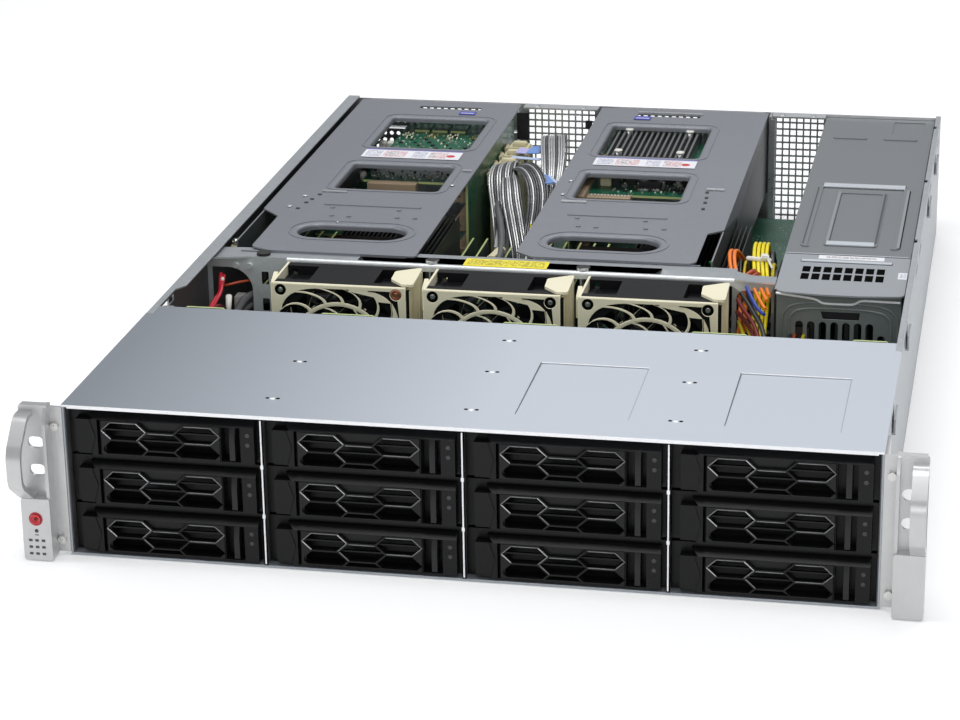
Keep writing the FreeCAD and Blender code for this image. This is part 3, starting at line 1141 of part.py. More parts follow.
# --- rear panel --------------------------------------------------------------------------------------
def rear_panel():
    y = DEPTH - SHEET
    top = HEIGHT - SHEET - 0.2
    mesh_top = TOP_LINE - 0.2
    holes = square_mesh(99.5, 136.5, 4.0, mesh_top)
    holes += square_mesh(-84.0, -30.0, 34.0, mesh_top)
    for x0, x1 in ((-203.0, RISER_SOCKETS[0] - 1.5), (RISER_SOCKETS[1] + 1.5, 92.0)):
        for level in range(CARD_LEVELS):
            z = card_level(level)
            holes.append(oblong(x0, x1, z - 2.6, z + 13.2, 1.0))
    holes.append(oblong(CAGE_LEFT + CAGE_SHEET, CAGE_RIGHT - CAGE_SHEET,
                        SHEET + 0.15, TOP_LINE - CAGE_SHEET, 0.2))
    holes += [oblong(x - LIFT_GAP, x + wide + LIFT_GAP, MAIN_TOP - LIFT_GAP, MAIN_TOP + high + LIFT_GAP)
              for x, wide, high in PORTS]
    plate = sheet("xz", y, SHEET, oblong(-INNER, INNER, SHEET, top), holes)
    flanges = [block(x0, x1, y - 10.0, y, top - SHEET, top) for x0, x1 in ((-84.0, -29.0), (98.5, 136.8))]
    channel = joined([block(96.8, 98.0, y - 12.0, y, SHEET, top),
                      block(96.8, 101.0, y - 12.0, y - 10.8, SHEET, top - 2)])
    screws = [rod("z", (x, y - 5.0, top), 2.2, 1.0) for x in (-74.0, -40.0, 106.0, 128.0)]
    return [joined([plate, *flanges, channel, *screws])]


# --- cables ------------------------------------------------------------------------------------------
# Each loom: wire diameter, number of wires, the step from wire to wire, and the hand-laid route.
LOOMS = {
    "fan lead": (2.4, 2, (2.9, 0, 0), (
        (112.0, 351.5, 18.6), (112.0, 351.5, 32.0), (110.0, 354.0, 52.0), (108.0, 351.0, 70.0),
        (102.0, 334.0, 85.0), (106.0, 302.0, 80.0), (114.0, 284.0, 73.0), (117.0, 264.0, 60.0),
        (116.0, 240.0, 48.0), (108.0, 210.0, 45.0), (104.0, 192.0, 48.0), (104.0, 177.2, 48.0))),
    "board power": (2.2, 4, (2.6, 0, 0), (
        (116.0, 379.5, 18.6), (116.0, 379.5, 34.0), (116.0, 378.0, 58.0), (116.0, 366.0, 78.0),
        (117.0, 342.0, 84.0), (119.0, 316.0, 82.0), (122.0, 294.0, 79.0), (124.0, 281.0, 68.0),
        (124.0, 262.0, 58.0), (126.0, 236.0, 56.0), (125.0, 206.0, 60.0), (124.0, 191.0, 62.0),
        (124.0, 177.2, 62.0))),
    "drive power": (2.2, 4, (2.6, 0, 0), (
        (147.6, 257.0, 56.0), (147.6, 246.0, 56.0), (149.5, 226.0, 60.0), (149.0, 204.0, 63.0),
        (147.5, 190.0, 62.5), (147.5, 177.2, 62.5))),
    "second drive power": (2.2, 3, (2.6, 0, 0), (
        (148.5, 257.0, 46.0), (148.5, 246.0, 46.0), (156.0, 228.0, 48.0), (169.0, 206.0, 59.0),
        (173.0, 191.0, 62.5), (173.0, 177.2, 62.5))),
    "panel lead": (2.2, 4, (1.9, 0, 2.1), (
        (-203.5, 294.0, 11.0), (-203.5, 285.0, 11.0), (-207.0, 274.0, 28.0), (-208.5, 262.0, 44.0),
        (-207.0, 236.0, 59.0), (-203.0, 208.0, 60.0), (-197.0, 190.0, 53.0), (-197.0, 177.2, 53.0))),
    "data": (5.0, 2, (0, 0, 6.0), (
        (-76.0, 508.0, 59.0), (-76.0, 490.0, 59.0), (-66.0, 446.0, 58.0), (-55.0, 402.0, 54.5),
        (-49.0, 356.0, 53.0), (-50.0, 318.0, 53.5), (-58.0, 292.0, 53.0), (-84.0, 283.0, 54.0),
        (-128.0, 281.0, 57.0), (-174.0, 284.0, 55.0), (-193.0, 275.0, 52.0), (-194.0, 256.0, 50.0),
        (-192.0, 236.0, 47.0), (-182.0, 212.0, 40.0), (-163.0, 202.0, 34.0), (-150.0, 194.0, 32.5),
        (-150.0, 179.2, 32.5))),
}


def cables():
    solids = []
    for diameter, wires, step, route in LOOMS.values():
        for wire in range(wires):
            solids.append(tube([V(*point) + V(*step) * wire for point in route], diameter))
    return solids


# --- the assembly ------------------------------------------------------------------------------------
def assembly():
    nodes = {
        "chassis_tray": chassis_tray(),
        "front_cover": front_cover(),
        "drive_cage": drive_cage(),
        "backplane": backplane(),
        "left_ear": left_ear(),
        "right_ear": right_ear(),
        "power_button": power_button(),
        "fan_wall": fan_wall(),
        "mainboard": mainboard(),
        "psu_cage": psu_cage(),
        "riser_left": riser_left(),
        "riser_right": riser_right(),
        "rear_panel": rear_panel(),
        "cables": cables(),
    }
    tray, lever, button = carrier(), carrier_lever(), carrier_button()
    for column in range(COLUMNS):
        for row in range(ROWS):
            place = "c%dr%d" % (column + 1, row + 1)
            x, z = bay_left(column), bay_floor(row)
            nodes["drive_carrier_" + place] = moved(tray, x, 0, z)
            nodes["carrier_lever_" + place] = moved(lever, x, 0, z)
            nodes["release_button_" + place] = moved(button, x, 0, z)
    for index in range(FAN_COUNT):
        nodes["fan_module_%d" % (index + 1)] = fan_module(index)
        nodes["fan_rotor_%d" % (index + 1)] = fan_rotor(index)
    for index in range(2):
        nodes["power_supply_%d" % (index + 1)] = psu_module(index)
        nodes["supply_latch_%d" % (index + 1)] = psu_latch(index)
    return nodes


def main():
    os.makedirs("parts", exist_ok=True)
    for name, solids in assembly().items():
        shape = Part.makeCompound(moved(solids, y=-DEPTH / 2))
        bad = [solid for solid in shape.Solids if not solid.isValid()]
        state = "INVALID" if bad else ""
        print("%-24s %3d solids %5d faces %s" % (name, len(shape.Solids), len(shape.Faces), state))
        shape.exportStep("parts/%s.step" % name)


main()
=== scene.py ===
# %% [markdown]
# # A two-unit rack server, dressed for its picture
# The imported model comes in as a fixed frame, and this script adds what a imported model lacks: camera,
# light, materials and small parts. The first lines load the frame. `cad_low` and `cad_high` are the corners
# of its box.

# %%
import math

import bmesh
import bpy
from mathutils import Matrix, Vector


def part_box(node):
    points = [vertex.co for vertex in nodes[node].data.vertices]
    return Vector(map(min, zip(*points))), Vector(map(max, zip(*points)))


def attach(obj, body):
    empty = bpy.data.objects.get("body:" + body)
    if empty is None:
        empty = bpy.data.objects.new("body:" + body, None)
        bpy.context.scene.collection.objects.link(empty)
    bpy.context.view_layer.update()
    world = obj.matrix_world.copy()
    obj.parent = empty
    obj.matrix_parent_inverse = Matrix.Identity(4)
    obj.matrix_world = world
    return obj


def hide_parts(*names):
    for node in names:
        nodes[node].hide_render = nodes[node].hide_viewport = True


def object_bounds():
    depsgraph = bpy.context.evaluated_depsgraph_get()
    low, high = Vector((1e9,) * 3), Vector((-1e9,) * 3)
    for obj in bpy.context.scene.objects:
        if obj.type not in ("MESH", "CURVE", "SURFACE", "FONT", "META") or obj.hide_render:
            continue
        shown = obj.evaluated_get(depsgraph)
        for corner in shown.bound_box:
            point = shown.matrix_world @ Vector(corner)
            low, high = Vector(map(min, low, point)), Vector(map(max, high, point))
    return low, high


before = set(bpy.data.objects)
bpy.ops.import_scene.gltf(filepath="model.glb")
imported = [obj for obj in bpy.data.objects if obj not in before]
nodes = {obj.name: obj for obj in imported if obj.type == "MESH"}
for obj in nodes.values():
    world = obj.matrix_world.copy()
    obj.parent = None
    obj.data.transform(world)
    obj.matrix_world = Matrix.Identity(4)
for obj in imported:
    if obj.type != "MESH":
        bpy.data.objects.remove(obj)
cad_low, cad_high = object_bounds()
print("packed box", [round(v, 4) for v in (*cad_low, *cad_high)])

# %% [markdown]
# ## Places
# A server is drawn from the face of its drive bays: x from the middle, y from that face to the rear and z
# from the underside, in millimetres. The frame is in metres round the middle of the chassis, so one small
# function turns a drawing place into a frame place. The rear panel ends where the chassis ends, which
# gives half its depth.

# %%
MM = 0.001
HALF_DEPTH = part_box("rear_panel")[1].y


def place(x, y, z):
    return Vector((x * MM, y * MM - HALF_DEPTH, z * MM))


def drawn(point):
    """The drawing place of a frame point, in millimetres."""
    return Vector((point.x, point.y + HALF_DEPTH, point.z)) / MM


def drawn_box(node):
    low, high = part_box(node)
    return drawn(low), drawn(high)


print("half depth", round(HALF_DEPTH, 4), "fan 1 from", [round(v) for v in drawn_box("fan_module_1")[0]])

# %% [markdown]
# ## Camera
# The camera stands in front of the right half, above the server, and looks down and to the left with a
# long lens. Its three angles are in degrees: the turn to the left, the tip down from level and a slight
# roll.

# %%
CAMERA_PLACE = (282.26, -1334.87, 624.62)
CAMERA_TURN = 11.512262
CAMERA_TIP = -20.126717
CAMERA_ROLL = 0.954058
LENS = 105.73


def rotation(degrees, axis):
    return Matrix.Rotation(math.radians(degrees), 4, axis)


UPRIGHT = rotation(90, "X")
camera = bpy.data.objects.new("camera", bpy.data.cameras.new("camera"))
bpy.context.scene.collection.objects.link(camera)
bpy.context.scene.camera = camera
camera.data.lens = LENS
camera.data.clip_end = 20.0
aim = rotation(CAMERA_TURN, "Z") @ rotation(CAMERA_TIP, "X") @ rotation(CAMERA_ROLL, "Y") @ UPRIGHT
camera.matrix_world = Matrix.Translation(place(*CAMERA_PLACE)) @ aim
print("camera at", [round(v, 3) for v in camera.location])

# %% [markdown]
# ## Light
# Large soft panels: the main one overhead and to the front, a long one on the left that draws bright
# lines on the rolled edges, a low one for the black bay faces and a rear one that lights the lids.

# %%
def light_panel(name, spot, aim, size, power):
    """An area light at a spot, turned to its aim."""
    lamp = bpy.data.lights.new(name, "AREA")
    lamp.shape = "RECTANGLE"
    lamp.size, lamp.size_y = size
    lamp.energy = power
    body = bpy.data.objects.new(name, lamp)
    body.location = spot
    body.rotation_euler = (Vector(aim) - Vector(spot)).to_track_quat("-Z", "Y").to_euler()
    bpy.context.scene.collection.objects.link(body)
    return body


CENTRE = (0.0, 0.0, 0.0)
panels = [
    light_panel("overhead", (0.1, -0.5, 2.2), CENTRE, (1.8, 1.2), 27),
    light_panel("left_strip", (-1.8, -0.6, 1.1), CENTRE, (0.6, 1.6), 10),
    light_panel("front_fill", (0.6, -2.4, 0.9), (0.0, -0.3, 0.0), (1.6, 0.8), 10),
    light_panel("rear_top", (0.3, 1.6, 1.8), (0.0, 0.1, 0.0), (1.8, 0.7), 15),
]
print(len(panels), "light panels,", sum(panel.data.energy for panel in panels), "watts")

# %% [markdown]
# The world is plain white to the camera and through clear things, and dimmer as a light, so that shapes
# keep their shade.

# %%
world = bpy.data.worlds.new("studio")
bpy.context.scene.world = world
world.use_nodes = True
sky, sky_links = world.node_tree.nodes, world.node_tree.links
sky.clear()
seen = sky.new("ShaderNodeBackground")
seen.inputs["Color"].default_value = (1.0, 1.0, 1.0, 1.0)
seen.inputs["Strength"].default_value = 1.0
ambient = sky.new("ShaderNodeBackground")
ambient.inputs["Color"].default_value = (0.93, 0.96, 1.0, 1.0)
ambient.inputs["Strength"].default_value = 0.36
rays = sky.new("ShaderNodeLightPath")
either = sky.new("ShaderNodeMath")
either.operation = "MAXIMUM"
choose = sky.new("ShaderNodeMixShader")
out = sky.new("ShaderNodeOutputWorld")
sky_links.new(rays.outputs["Is Camera Ray"], either.inputs[0])
sky_links.new(rays.outputs["Is Transmission Ray"], either.inputs[1])
sky_links.new(either.outputs[0], choose.inputs[0])
sky_links.new(ambient.outputs[0], choose.inputs[1])
sky_links.new(seen.outputs[0], choose.inputs[2])
sky_links.new(choose.outputs[0], out.inputs["Surface"])
bpy.context.scene.view_settings.view_transform = "Standard"
print("world has", len(sky), "nodes")

# %% [markdown]
# ## Shader sums
# Materials here are written as sums. `Value` wraps one output of a shader node. `+ - * /` and the
# comparisons make the Math nodes, and a plain number may stand on the left of `+` and `-`. `Paint` is one
# material: it makes its nodes with a single method and feeds the surface shader by input name.

# %%
class Value:
    """One output of a shader node that can be reckoned with."""

    def __init__(self, paint, socket):
        self.paint = paint
        self.socket = socket

    def maths(self, operation, first, second):
        return self.paint.node("ShaderNodeMath", {"operation": operation}, {0: first, 1: second})

    def __add__(self, other):
        return self.maths("ADD", self, other)

    def __sub__(self, other):
        return self.maths("SUBTRACT", self, other)

    def __mul__(self, other):
        return self.maths("MULTIPLY", self, other)

    def __truediv__(self, other):
        return self.maths("DIVIDE", self, other)

    def __gt__(self, other):
        return self.maths("GREATER_THAN", self, other)

    def __lt__(self, other):
        return self.maths("LESS_THAN", self, other)

    def __radd__(self, other):
        return self.maths("ADD", other, self)

    def __rsub__(self, other):
        return self.maths("SUBTRACT", other, self)


class Paint:
    """A material whose nodes are made one call at a time."""

    def __init__(self, name, **surface):
        self.material = bpy.data.materials.new(name)
        self.material.use_nodes = True
        self.tree = self.material.node_tree
        self.shader = self.tree.nodes["Principled BSDF"]
        self.where = self.node("ShaderNodeTexCoord", output="Object")
        self.feed(**surface)

    def node(self, kind, settings=None, inputs=None, output=0):
        made = self.tree.nodes.new(kind)
        for key, setting in (settings or {}).items():
            setattr(made, key, setting)
        for key, fed in (inputs or {}).items():
            self.join(fed, made.inputs[key])
        return Value(self, made.outputs[output])

    def join(self, fed, socket):
        if isinstance(fed, Value):
            self.tree.links.new(fed.socket, socket)
        elif socket.type == "RGBA":
            socket.default_value = (*fed[:3], 1.0)
        else:
            socket.default_value = fed

    def feed(self, **surface):
        for key, fed in surface.items():
            self.join(fed, self.shader.inputs[key.replace("_", " ").title().replace("Ior", "IOR")])

    def stretched(self, x, y, z):
        """The place on the piece, stretched by a factor along each axis."""
        return self.node("ShaderNodeMapping", None, {"Vector": self.where, "Scale": (x, y, z)})

    def noise(self, scale, detail=3.0, vector=None):
        return self.node("ShaderNodeTexNoise", None,
                         {"Vector": vector or self.where, "Scale": scale, "Detail": detail})

    def cells(self, scale, output="Distance"):
        return self.node("ShaderNodeTexVoronoi", None, {"Vector": self.where, "Scale": scale}, output)

    def axis(self, name):
        return self.node("ShaderNodeSeparateXYZ", None, {0: self.where}, name)

    def stripes(self, along, pitch):
        """A value that runs from 0 to 1 once per pitch in metres."""
        return self.node("ShaderNodeMath", {"operation": "FRACT"}, {0: along / pitch})

    def clamped(self, value):
        return self.node("ShaderNodeClamp", None, {0: value})

    def tint(self, share, low, high):
        """Colour that goes from low to high as the share goes from 0 to 1."""
        return self.node("ShaderNodeMix", {"data_type": "RGBA"}, {0: share, 6: low, 7: high}, 2)

    def bump(self, height, strength, distance=0.0004):
        relief = {"Strength": strength, "Distance": distance, "Height": height}
        self.feed(normal=self.node("ShaderNodeBump", None, relief, "Normal"))


def scaled(colour, factor):
    return tuple(min(1.0, channel * factor) for channel in colour)


print("shader sums ready")

# %% [markdown]
# ## Materials
# Most surfaces are one of four kinds: sheet metal, painted metal, moulded plastic and circuit board. Each
# kind has its own function, which adds the fine grain, blotches and wear that such a surface shows. It is
# called with the colour and sheen of every piece.

# %%
def sheet_metal(name, colour, roughness=0.38, metallic=0.85, spangle=0.10, streak=(60.0, 900.0, 60.0)):
    """Rolled or zinc-plated sheet: faint crystals, rolling streaks and a fingerprint-like cloudiness."""
    paint = Paint(name, metallic=metallic)
    crystals = paint.cells(240.0, output="Color")
    flake = paint.node("ShaderNodeSeparateColor", None, {0: crystals})
    rolled = paint.noise(1.0, 4.0, paint.stretched(*streak))
    cloud = paint.noise(9.0, 2.0)
    shade = paint.clamped(0.5 + (flake - 0.5) * spangle * 4.0 + (rolled - 0.5) * 0.5 + (cloud - 0.5) * 0.5)
    paint.feed(base_color=paint.tint(shade, scaled(colour, 1 - spangle), scaled(colour, 1 + spangle)))
    paint.feed(roughness=paint.clamped(roughness + (rolled - 0.5) * 0.12 + (cloud - 0.5) * 0.08))
    paint.bump(rolled + flake * 0.3, 0.05)
    return paint.material


def painted(name, colour, first, fade, roughness=0.42):
    """Powder paint with a fine orange peel; fade (axis, start, end) leads from the first colour to this."""
    paint = Paint(name, metallic=0.0, coat_weight=0.1)
    peel = paint.noise(1400.0, 2.0)
    cloud = paint.noise(5.0, 3.0)
    even = paint.tint(paint.clamped(cloud * 0.7 + peel * 0.3), scaled(colour, 0.96), scaled(colour, 1.03))
    axis, start, end = fade
    share = paint.clamped((paint.axis(axis) - start) / (end - start))
    paint.feed(base_color=paint.tint(share, first, even))
    paint.feed(roughness=paint.clamped(roughness + (peel - 0.5) * 0.15))
    paint.bump(peel, 0.06)
    return paint.material


def moulded(name, colour, roughness=0.4, spread=0.12, grain=2200.0, depth=0.12, coat=0.0, shine=0.5):
    """Injection-moulded plastic: fine spark-eroded texture and slightly uneven colour."""
    paint = Paint(name, metallic=0.0, coat_weight=coat, specular_ior_level=shine)
    texture = paint.noise(grain, 2.0)
    flow = paint.noise(35.0, 3.0)
    shade = paint.clamped(flow * 0.6 + texture * 0.4)
    paint.feed(base_color=paint.tint(shade, scaled(colour, 1 - spread), scaled(colour, 1 + spread)))
    paint.feed(roughness=paint.clamped(roughness + (texture - 0.5) * 0.2 + (flow - 0.5) * 0.1))
    paint.bump(texture, depth, 0.0002)
    return paint.material


def circuit(name, colour, trace, scale=1.0):
    """Solder mask over copper: bundles of traces, pads and a scatter of tiny bright parts."""
    paint = Paint(name, metallic=0.0, coat_weight=0.15)
    blocks = paint.cells(70.0 * scale, output="Color")
    pick = paint.node("ShaderNodeSeparateColor", None, {0: blocks})
    along_x = paint.stripes(paint.axis("X") + paint.axis("Z"), 0.0016 / scale) < 0.42
    along_y = paint.stripes(paint.axis("Y"), 0.0016 / scale) < 0.42
    traced = paint.clamped((pick > 0.62) * along_x + (pick < 0.3) * along_y)
    pads = paint.cells(420.0 * scale) < 0.16
    parts = (paint.cells(190.0 * scale) < 0.13) * (paint.noise(60.0 * scale, 2.0) > 0.53)
    board = paint.tint(traced * 0.7, colour, trace)
    padded = paint.tint(pads * 0.6, board, (0.55, 0.55, 0.42))
    paint.feed(base_color=paint.tint(parts * 0.85, padded, (0.62, 0.60, 0.52)))
    paint.feed(roughness=paint.clamped(0.35 - traced * 0.06 + parts * 0.2))
    paint.bump(traced * 0.5 + pads + parts * 1.5, 0.25, 0.0002)
    return paint.material


print("four kinds of surface")

# %% [markdown]
# The sheet metals and paints of the body. The cover is the palest, with painted shade that darkens it to the
# left, the riser lids are a darker blue grey, and the nose of the supply cage is paler than its lid.

# %%
STEEL = {
    "zinc": sheet_metal("zinc_steel", (0.40, 0.42, 0.44), 0.42, 0.55),
    "bright": sheet_metal("bright_steel", (0.72, 0.73, 0.74), 0.3, 0.8),
    "riser": sheet_metal("riser_steel", (0.235, 0.245, 0.27), 0.46, 0.45, 0.06, (900.0, 60.0, 60.0)),
    "wall": sheet_metal("wall_steel", (0.34, 0.37, 0.40), 0.42, 0.5),
    "cage": sheet_metal("cage_steel", (0.16, 0.16, 0.165), 0.42, 0.5),
    "upright": sheet_metal("upright_steel", (0.075, 0.075, 0.08), 0.4, 0.5),
    "supply": sheet_metal("supply_steel", (0.48, 0.49, 0.50), 0.36, 0.6),
    "ear": sheet_metal("ear_silver", (0.55, 0.55, 0.55), 0.35, 0.7, 0.05, (500.0, 500.0, 60.0)),
    "screw": sheet_metal("screw_steel", (0.62, 0.62, 0.60), 0.28, 0.9, 0.06, (400.0, 400.0, 400.0)),
    "copper_screw": sheet_metal("copper_screw", (0.42, 0.15, 0.09), 0.35, 0.7, 0.1, (400.0, 400.0, 400.0)),
    "dark_sink": sheet_metal("dark_heatsink", (0.075, 0.078, 0.075), 0.4, 0.6, 0.12),
    "bar": sheet_metal("crossbar_highlight_steel", (0.80, 0.83, 0.83), 0.32, 0.4),
    "top": sheet_metal("bar_top_steel", (0.30, 0.32, 0.34), 0.45, 0.3),
    "plate": sheet_metal("end_plate_steel", (0.55, 0.61, 0.61), 0.42, 0.4),
    "inside": sheet_metal("inner_wall_steel", (0.10, 0.10, 0.105), 0.5, 0.4),
    "supply_front": sheet_metal("supply_front_steel", (0.24, 0.27, 0.26), 0.42, 0.4, 0.06),
    "gleam": sheet_metal("rolled_gleam", (0.62, 0.66, 0.70), 0.3, 0.25, 0.04),
    "edge": sheet_metal("highlight_edge", (0.93, 0.94, 0.95), 0.3, 0.1, 0.03),
    "shade": sheet_metal("rolled_shade", (0.07, 0.08, 0.085), 0.4, 0.4, 0.06),
    "ridge": sheet_metal("rolled_ridge", (0.30, 0.31, 0.33), 0.38, 0.3, 0.06),
    "cooler": sheet_metal("card_cooler", (0.20, 0.20, 0.205), 0.36, 0.7, 0.08),
    "bright_sink": sheet_metal("bright_heatsink", (0.50, 0.52, 0.55), 0.32, 0.8, 0.06),
    "copper": sheet_metal("copper", (0.70, 0.33, 0.18), 0.32, 0.9, 0.1, (300.0, 300.0, 300.0)),
    "gold": sheet_metal("gold_pins", (0.80, 0.58, 0.25), 0.3, 0.9, 0.08, (300.0, 300.0, 300.0)),
}
PAINTS = {
    # painted shade: the cover paint fades to a darker colour towards the left
    "cover": painted("cover_paint", (0.50, 0.54, 0.60), (0.20, 0.22, 0.25), ("X", -0.212, 0.01)),
    "supply_cage": painted("supply_cage_paint", (0.17, 0.18, 0.19), (0.30, 0.32, 0.345),
                           ("Y", 0.0028, 0.0034), 0.4),
}
print(len(STEEL) + len(PAINTS), "metals and paints")

# %% [markdown]
# Plastics, boards and rubbers. The bay faces are a satin black with a fine grain, and the fan cages a
# warm beige.

# %%
PLASTIC = {
    "bezel": moulded("bezel_black", (0.005, 0.005, 0.0055), 0.36, shine=0.22),
    "lever": moulded("lever_black", (0.006, 0.006, 0.0065), 0.34, shine=0.25),
    "button": moulded("button_black", (0.009, 0.009, 0.01), 0.32, shine=0.35),
    "lamp": moulded("light_pipe", (0.018, 0.018, 0.02), 0.25, coat=0.2),
    "beige": moulded("fan_cage_beige", (0.82, 0.77, 0.57), 0.45, 0.05),
    "fan": moulded("fan_black", (0.006, 0.006, 0.007), 0.5, shine=0.15),
    "rotor": moulded("rotor_black", (0.012, 0.012, 0.013), 0.38, shine=0.4),
    "mark": moulded("mark_grey", (0.07, 0.07, 0.08), 0.5, 0.1),
    "void": moulded("deep_black", (0.003, 0.003, 0.003), 0.9, 0.05, shine=0.02),
    # painted highlights for the lever cells: glint and the brighter crest
    "glint": moulded("glint_edge", (0.16, 0.16, 0.165), 0.3, 0.1, shine=0.6),
    "crest": moulded("bright_edge", (0.50, 0.50, 0.51), 0.3, 0.1, shine=0.6),
    "socket": moulded("socket_black", (0.022, 0.022, 0.025), 0.5),
    "white": moulded("connector_white", (0.74, 0.73, 0.68), 0.5, 0.05),
    "cream": moulded("connector_cream", (0.66, 0.60, 0.40), 0.5, 0.06),
    "tan": moulded("slot_tan", (0.36, 0.27, 0.18), 0.5, 0.08),
    "blue": moulded("pull_tab_blue", (0.16, 0.30, 0.66), 0.45, 0.08),
    "pale_blue": moulded("pull_tab_pale_blue", (0.48, 0.58, 0.80), 0.5, 0.06),
    "tag_blue": moulded("tag_blue", (0.06, 0.07, 0.42), 0.5, 0.06),
    "red": moulded("red_button", (0.62, 0.03, 0.035), 0.35, 0.08, coat=0.3),
    "chip": moulded("chip_epoxy", (0.018, 0.018, 0.02), 0.45, 0.2),
    "rubber": moulded("post_rubber", (0.014, 0.014, 0.014), 0.62, 0.15, 900.0, 0.2),
    "latch": moulded("latch_dark_red", (0.16, 0.015, 0.012), 0.4, 0.1),
    "yellow": moulded("label_yellow", (0.86, 0.72, 0.02), 0.5, 0.03, 900.0, 0.03),
    "paper": moulded("label_paper", (0.80, 0.80, 0.84), 0.5, 0.03, 700.0, 0.03),
    "violet": moulded("label_violet", (0.16, 0.16, 0.38), 0.5, 0.05, 700.0, 0.03),
    "lilac": moulded("pull_tab_lilac", (0.46, 0.44, 0.74), 0.45, 0.05),
    "strap": moulded("strap_grey", (0.34, 0.35, 0.35), 0.5, 0.06, 900.0, 0.1),
    "slot_brown": moulded("slot_brown", (0.075, 0.038, 0.024), 0.5, 0.12),
    "grid": moulded("socket_grid", (0.07, 0.072, 0.078), 0.5, 0.1),
}
BOARD = {
    "green": circuit("board_green", (0.004, 0.085, 0.045), (0.02, 0.17, 0.09)),
    "edge": moulded("board_edge", (0.50, 0.58, 0.24), 0.5, 0.1, 1500.0, 0.2),
    "memory": circuit("memory_green", (0.004, 0.03, 0.016), (0.012, 0.055, 0.03), 1.6),
    "pad": moulded("solder_pads", (0.42, 0.52, 0.44), 0.4, 0.1, 1500.0, 0.1),
}
print(len(PLASTIC), "plastics and", len(BOARD), "boards")

# %% [markdown]
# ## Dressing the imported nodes
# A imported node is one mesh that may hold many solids, such as a board with all its sockets. `solids_of`
# finds them as groups of faces that share corners. `dress` walks through the solids of a node and gives
# every face a material: a rule is a test on the solid and on the face, both in drawing places, and the
# first rule that holds wins.

# %%
class Solid:
    """One closed body inside a node: its box in drawing millimetres and its faces."""

    def __init__(self, faces, corners):
        self.faces = faces
        self.low = Vector(map(min, *corners))
        self.high = Vector(map(max, *corners))
        self.size = self.high - self.low
        self.middle = (self.high + self.low) / 2


def solids_of(mesh):
    """Groups of faces that share corners."""
    keys = {}
    group = []
    corner_of = []
    for vertex in mesh.vertices:
        key = tuple(round(c, 6) for c in vertex.co)
        if key not in keys:
            keys[key] = len(group)
            group.append(len(group))
        corner_of.append(keys[key])

    def root(index):
        while group[index] != index:
            group[index] = group[group[index]]
            index = group[index]
        return index

    for face in mesh.polygons:
        first = root(corner_of[face.vertices[0]])
        for other in face.vertices[1:]:
            group[root(corner_of[other])] = first
    members = {}
    for face in mesh.polygons:
        members.setdefault(root(corner_of[face.vertices[0]]), []).append(face)
    found = []
    for faces in members.values():
        corners = [drawn(mesh.vertices[index].co) for face in faces for index in face.vertices]
        found.append(Solid(faces, corners))
    return found


def dress(name, default, *rules):
    """Materials for a node: rules are pairs of a test (solid, face place, face normal) and a material."""
    mesh = nodes[name].data
    mesh.materials.clear()
    slots = {}

    def slot_of(material):
        if material.name not in slots:
            slots[material.name] = len(mesh.materials)
            mesh.materials.append(material)
        return slots[material.name]

    slot_of(default)
    for solid in solids_of(mesh):
        for face in solid.faces:
            spot = drawn(face.center)
            chosen = next((material for test, material in rules if test(solid, spot, face.normal)), default)
            face.material_index = slot_of(chosen)


def rounded(name, width):
    """Rolled and moulded edges: modifiers weld a node's faces and round its sharp edges."""
    node = nodes[name]
    mesh = node.data
    if "custom_normal" in mesh.attributes:
        mesh.attributes.remove(mesh.attributes["custom_normal"])
    mesh.shade_smooth()
    weld = node.modifiers.new("weld", "WELD")
    weld.merge_threshold = 1e-6
    bevel = node.modifiers.new("bevel", "BEVEL")
    bevel.width = width * MM
    bevel.segments = 2
    bevel.limit_method = "ANGLE"
    bevel.angle_limit = math.radians(35)
    bevel.harden_normals = True
    bevel.use_clamp_overlap = True


print("fan_wall holds", len(solids_of(nodes["fan_wall"].data)), "solids")

# %% [markdown]
# The sheet-metal shell, the cover and the ears. The front fold of the cover and the rolled front of the
# crossbar carry painted highlights in bright steel. The front edges of the uprights are black, since
# cover_trim adds their painted highlight lines later.

# %%
POSTS = (-182.0, -74.6, 19.4)
POST_RADIUS = 4.6
COVER_REAR = 150.0
COVER_TOP = 87.5
WALL_FACE = 215.0
BAR_LEFT = -166.0
# painted shade: the inner face of the left wall is a much darker copy of the wall steel
dress("chassis_tray", STEEL["wall"],
      (lambda solid, spot, normal: spot.x < -WALL_FACE and normal.x > 0.5, STEEL["inside"]),
      (lambda solid, spot, normal: abs(spot.x) > WALL_FACE + 3.0, STEEL["zinc"]),
      (lambda solid, spot, normal: spot.z > 86.0, STEEL["zinc"]))
# painted highlight: the front fold of the cover in near-white steel
dress("front_cover", PAINTS["cover"],
      (lambda solid, spot, normal: normal.y < -0.3, STEEL["edge"]))
dress("drive_cage", STEEL["cage"],
      (lambda solid, spot, normal: spot.y < 0.7 and abs(spot.x) < 210.0, PLASTIC["void"]),
      (lambda solid, spot, normal: spot.y < 0.7, STEEL["upright"]),
      (lambda solid, spot, normal: spot.z > 83.0 and normal.z > 0.5, PAINTS["cover"]),
      (lambda solid, spot, normal: spot.y > COVER_REAR - 1.0 and spot.z > 80.0, PAINTS["cover"]))
for name in ("left_ear", "right_ear"):
    dress(name, STEEL["ear"],
          (lambda solid, spot, normal: solid.size.x < 5.0 and solid.size.z < 5.0, STEEL["screw"]))
dress("rear_panel", STEEL["bright"])
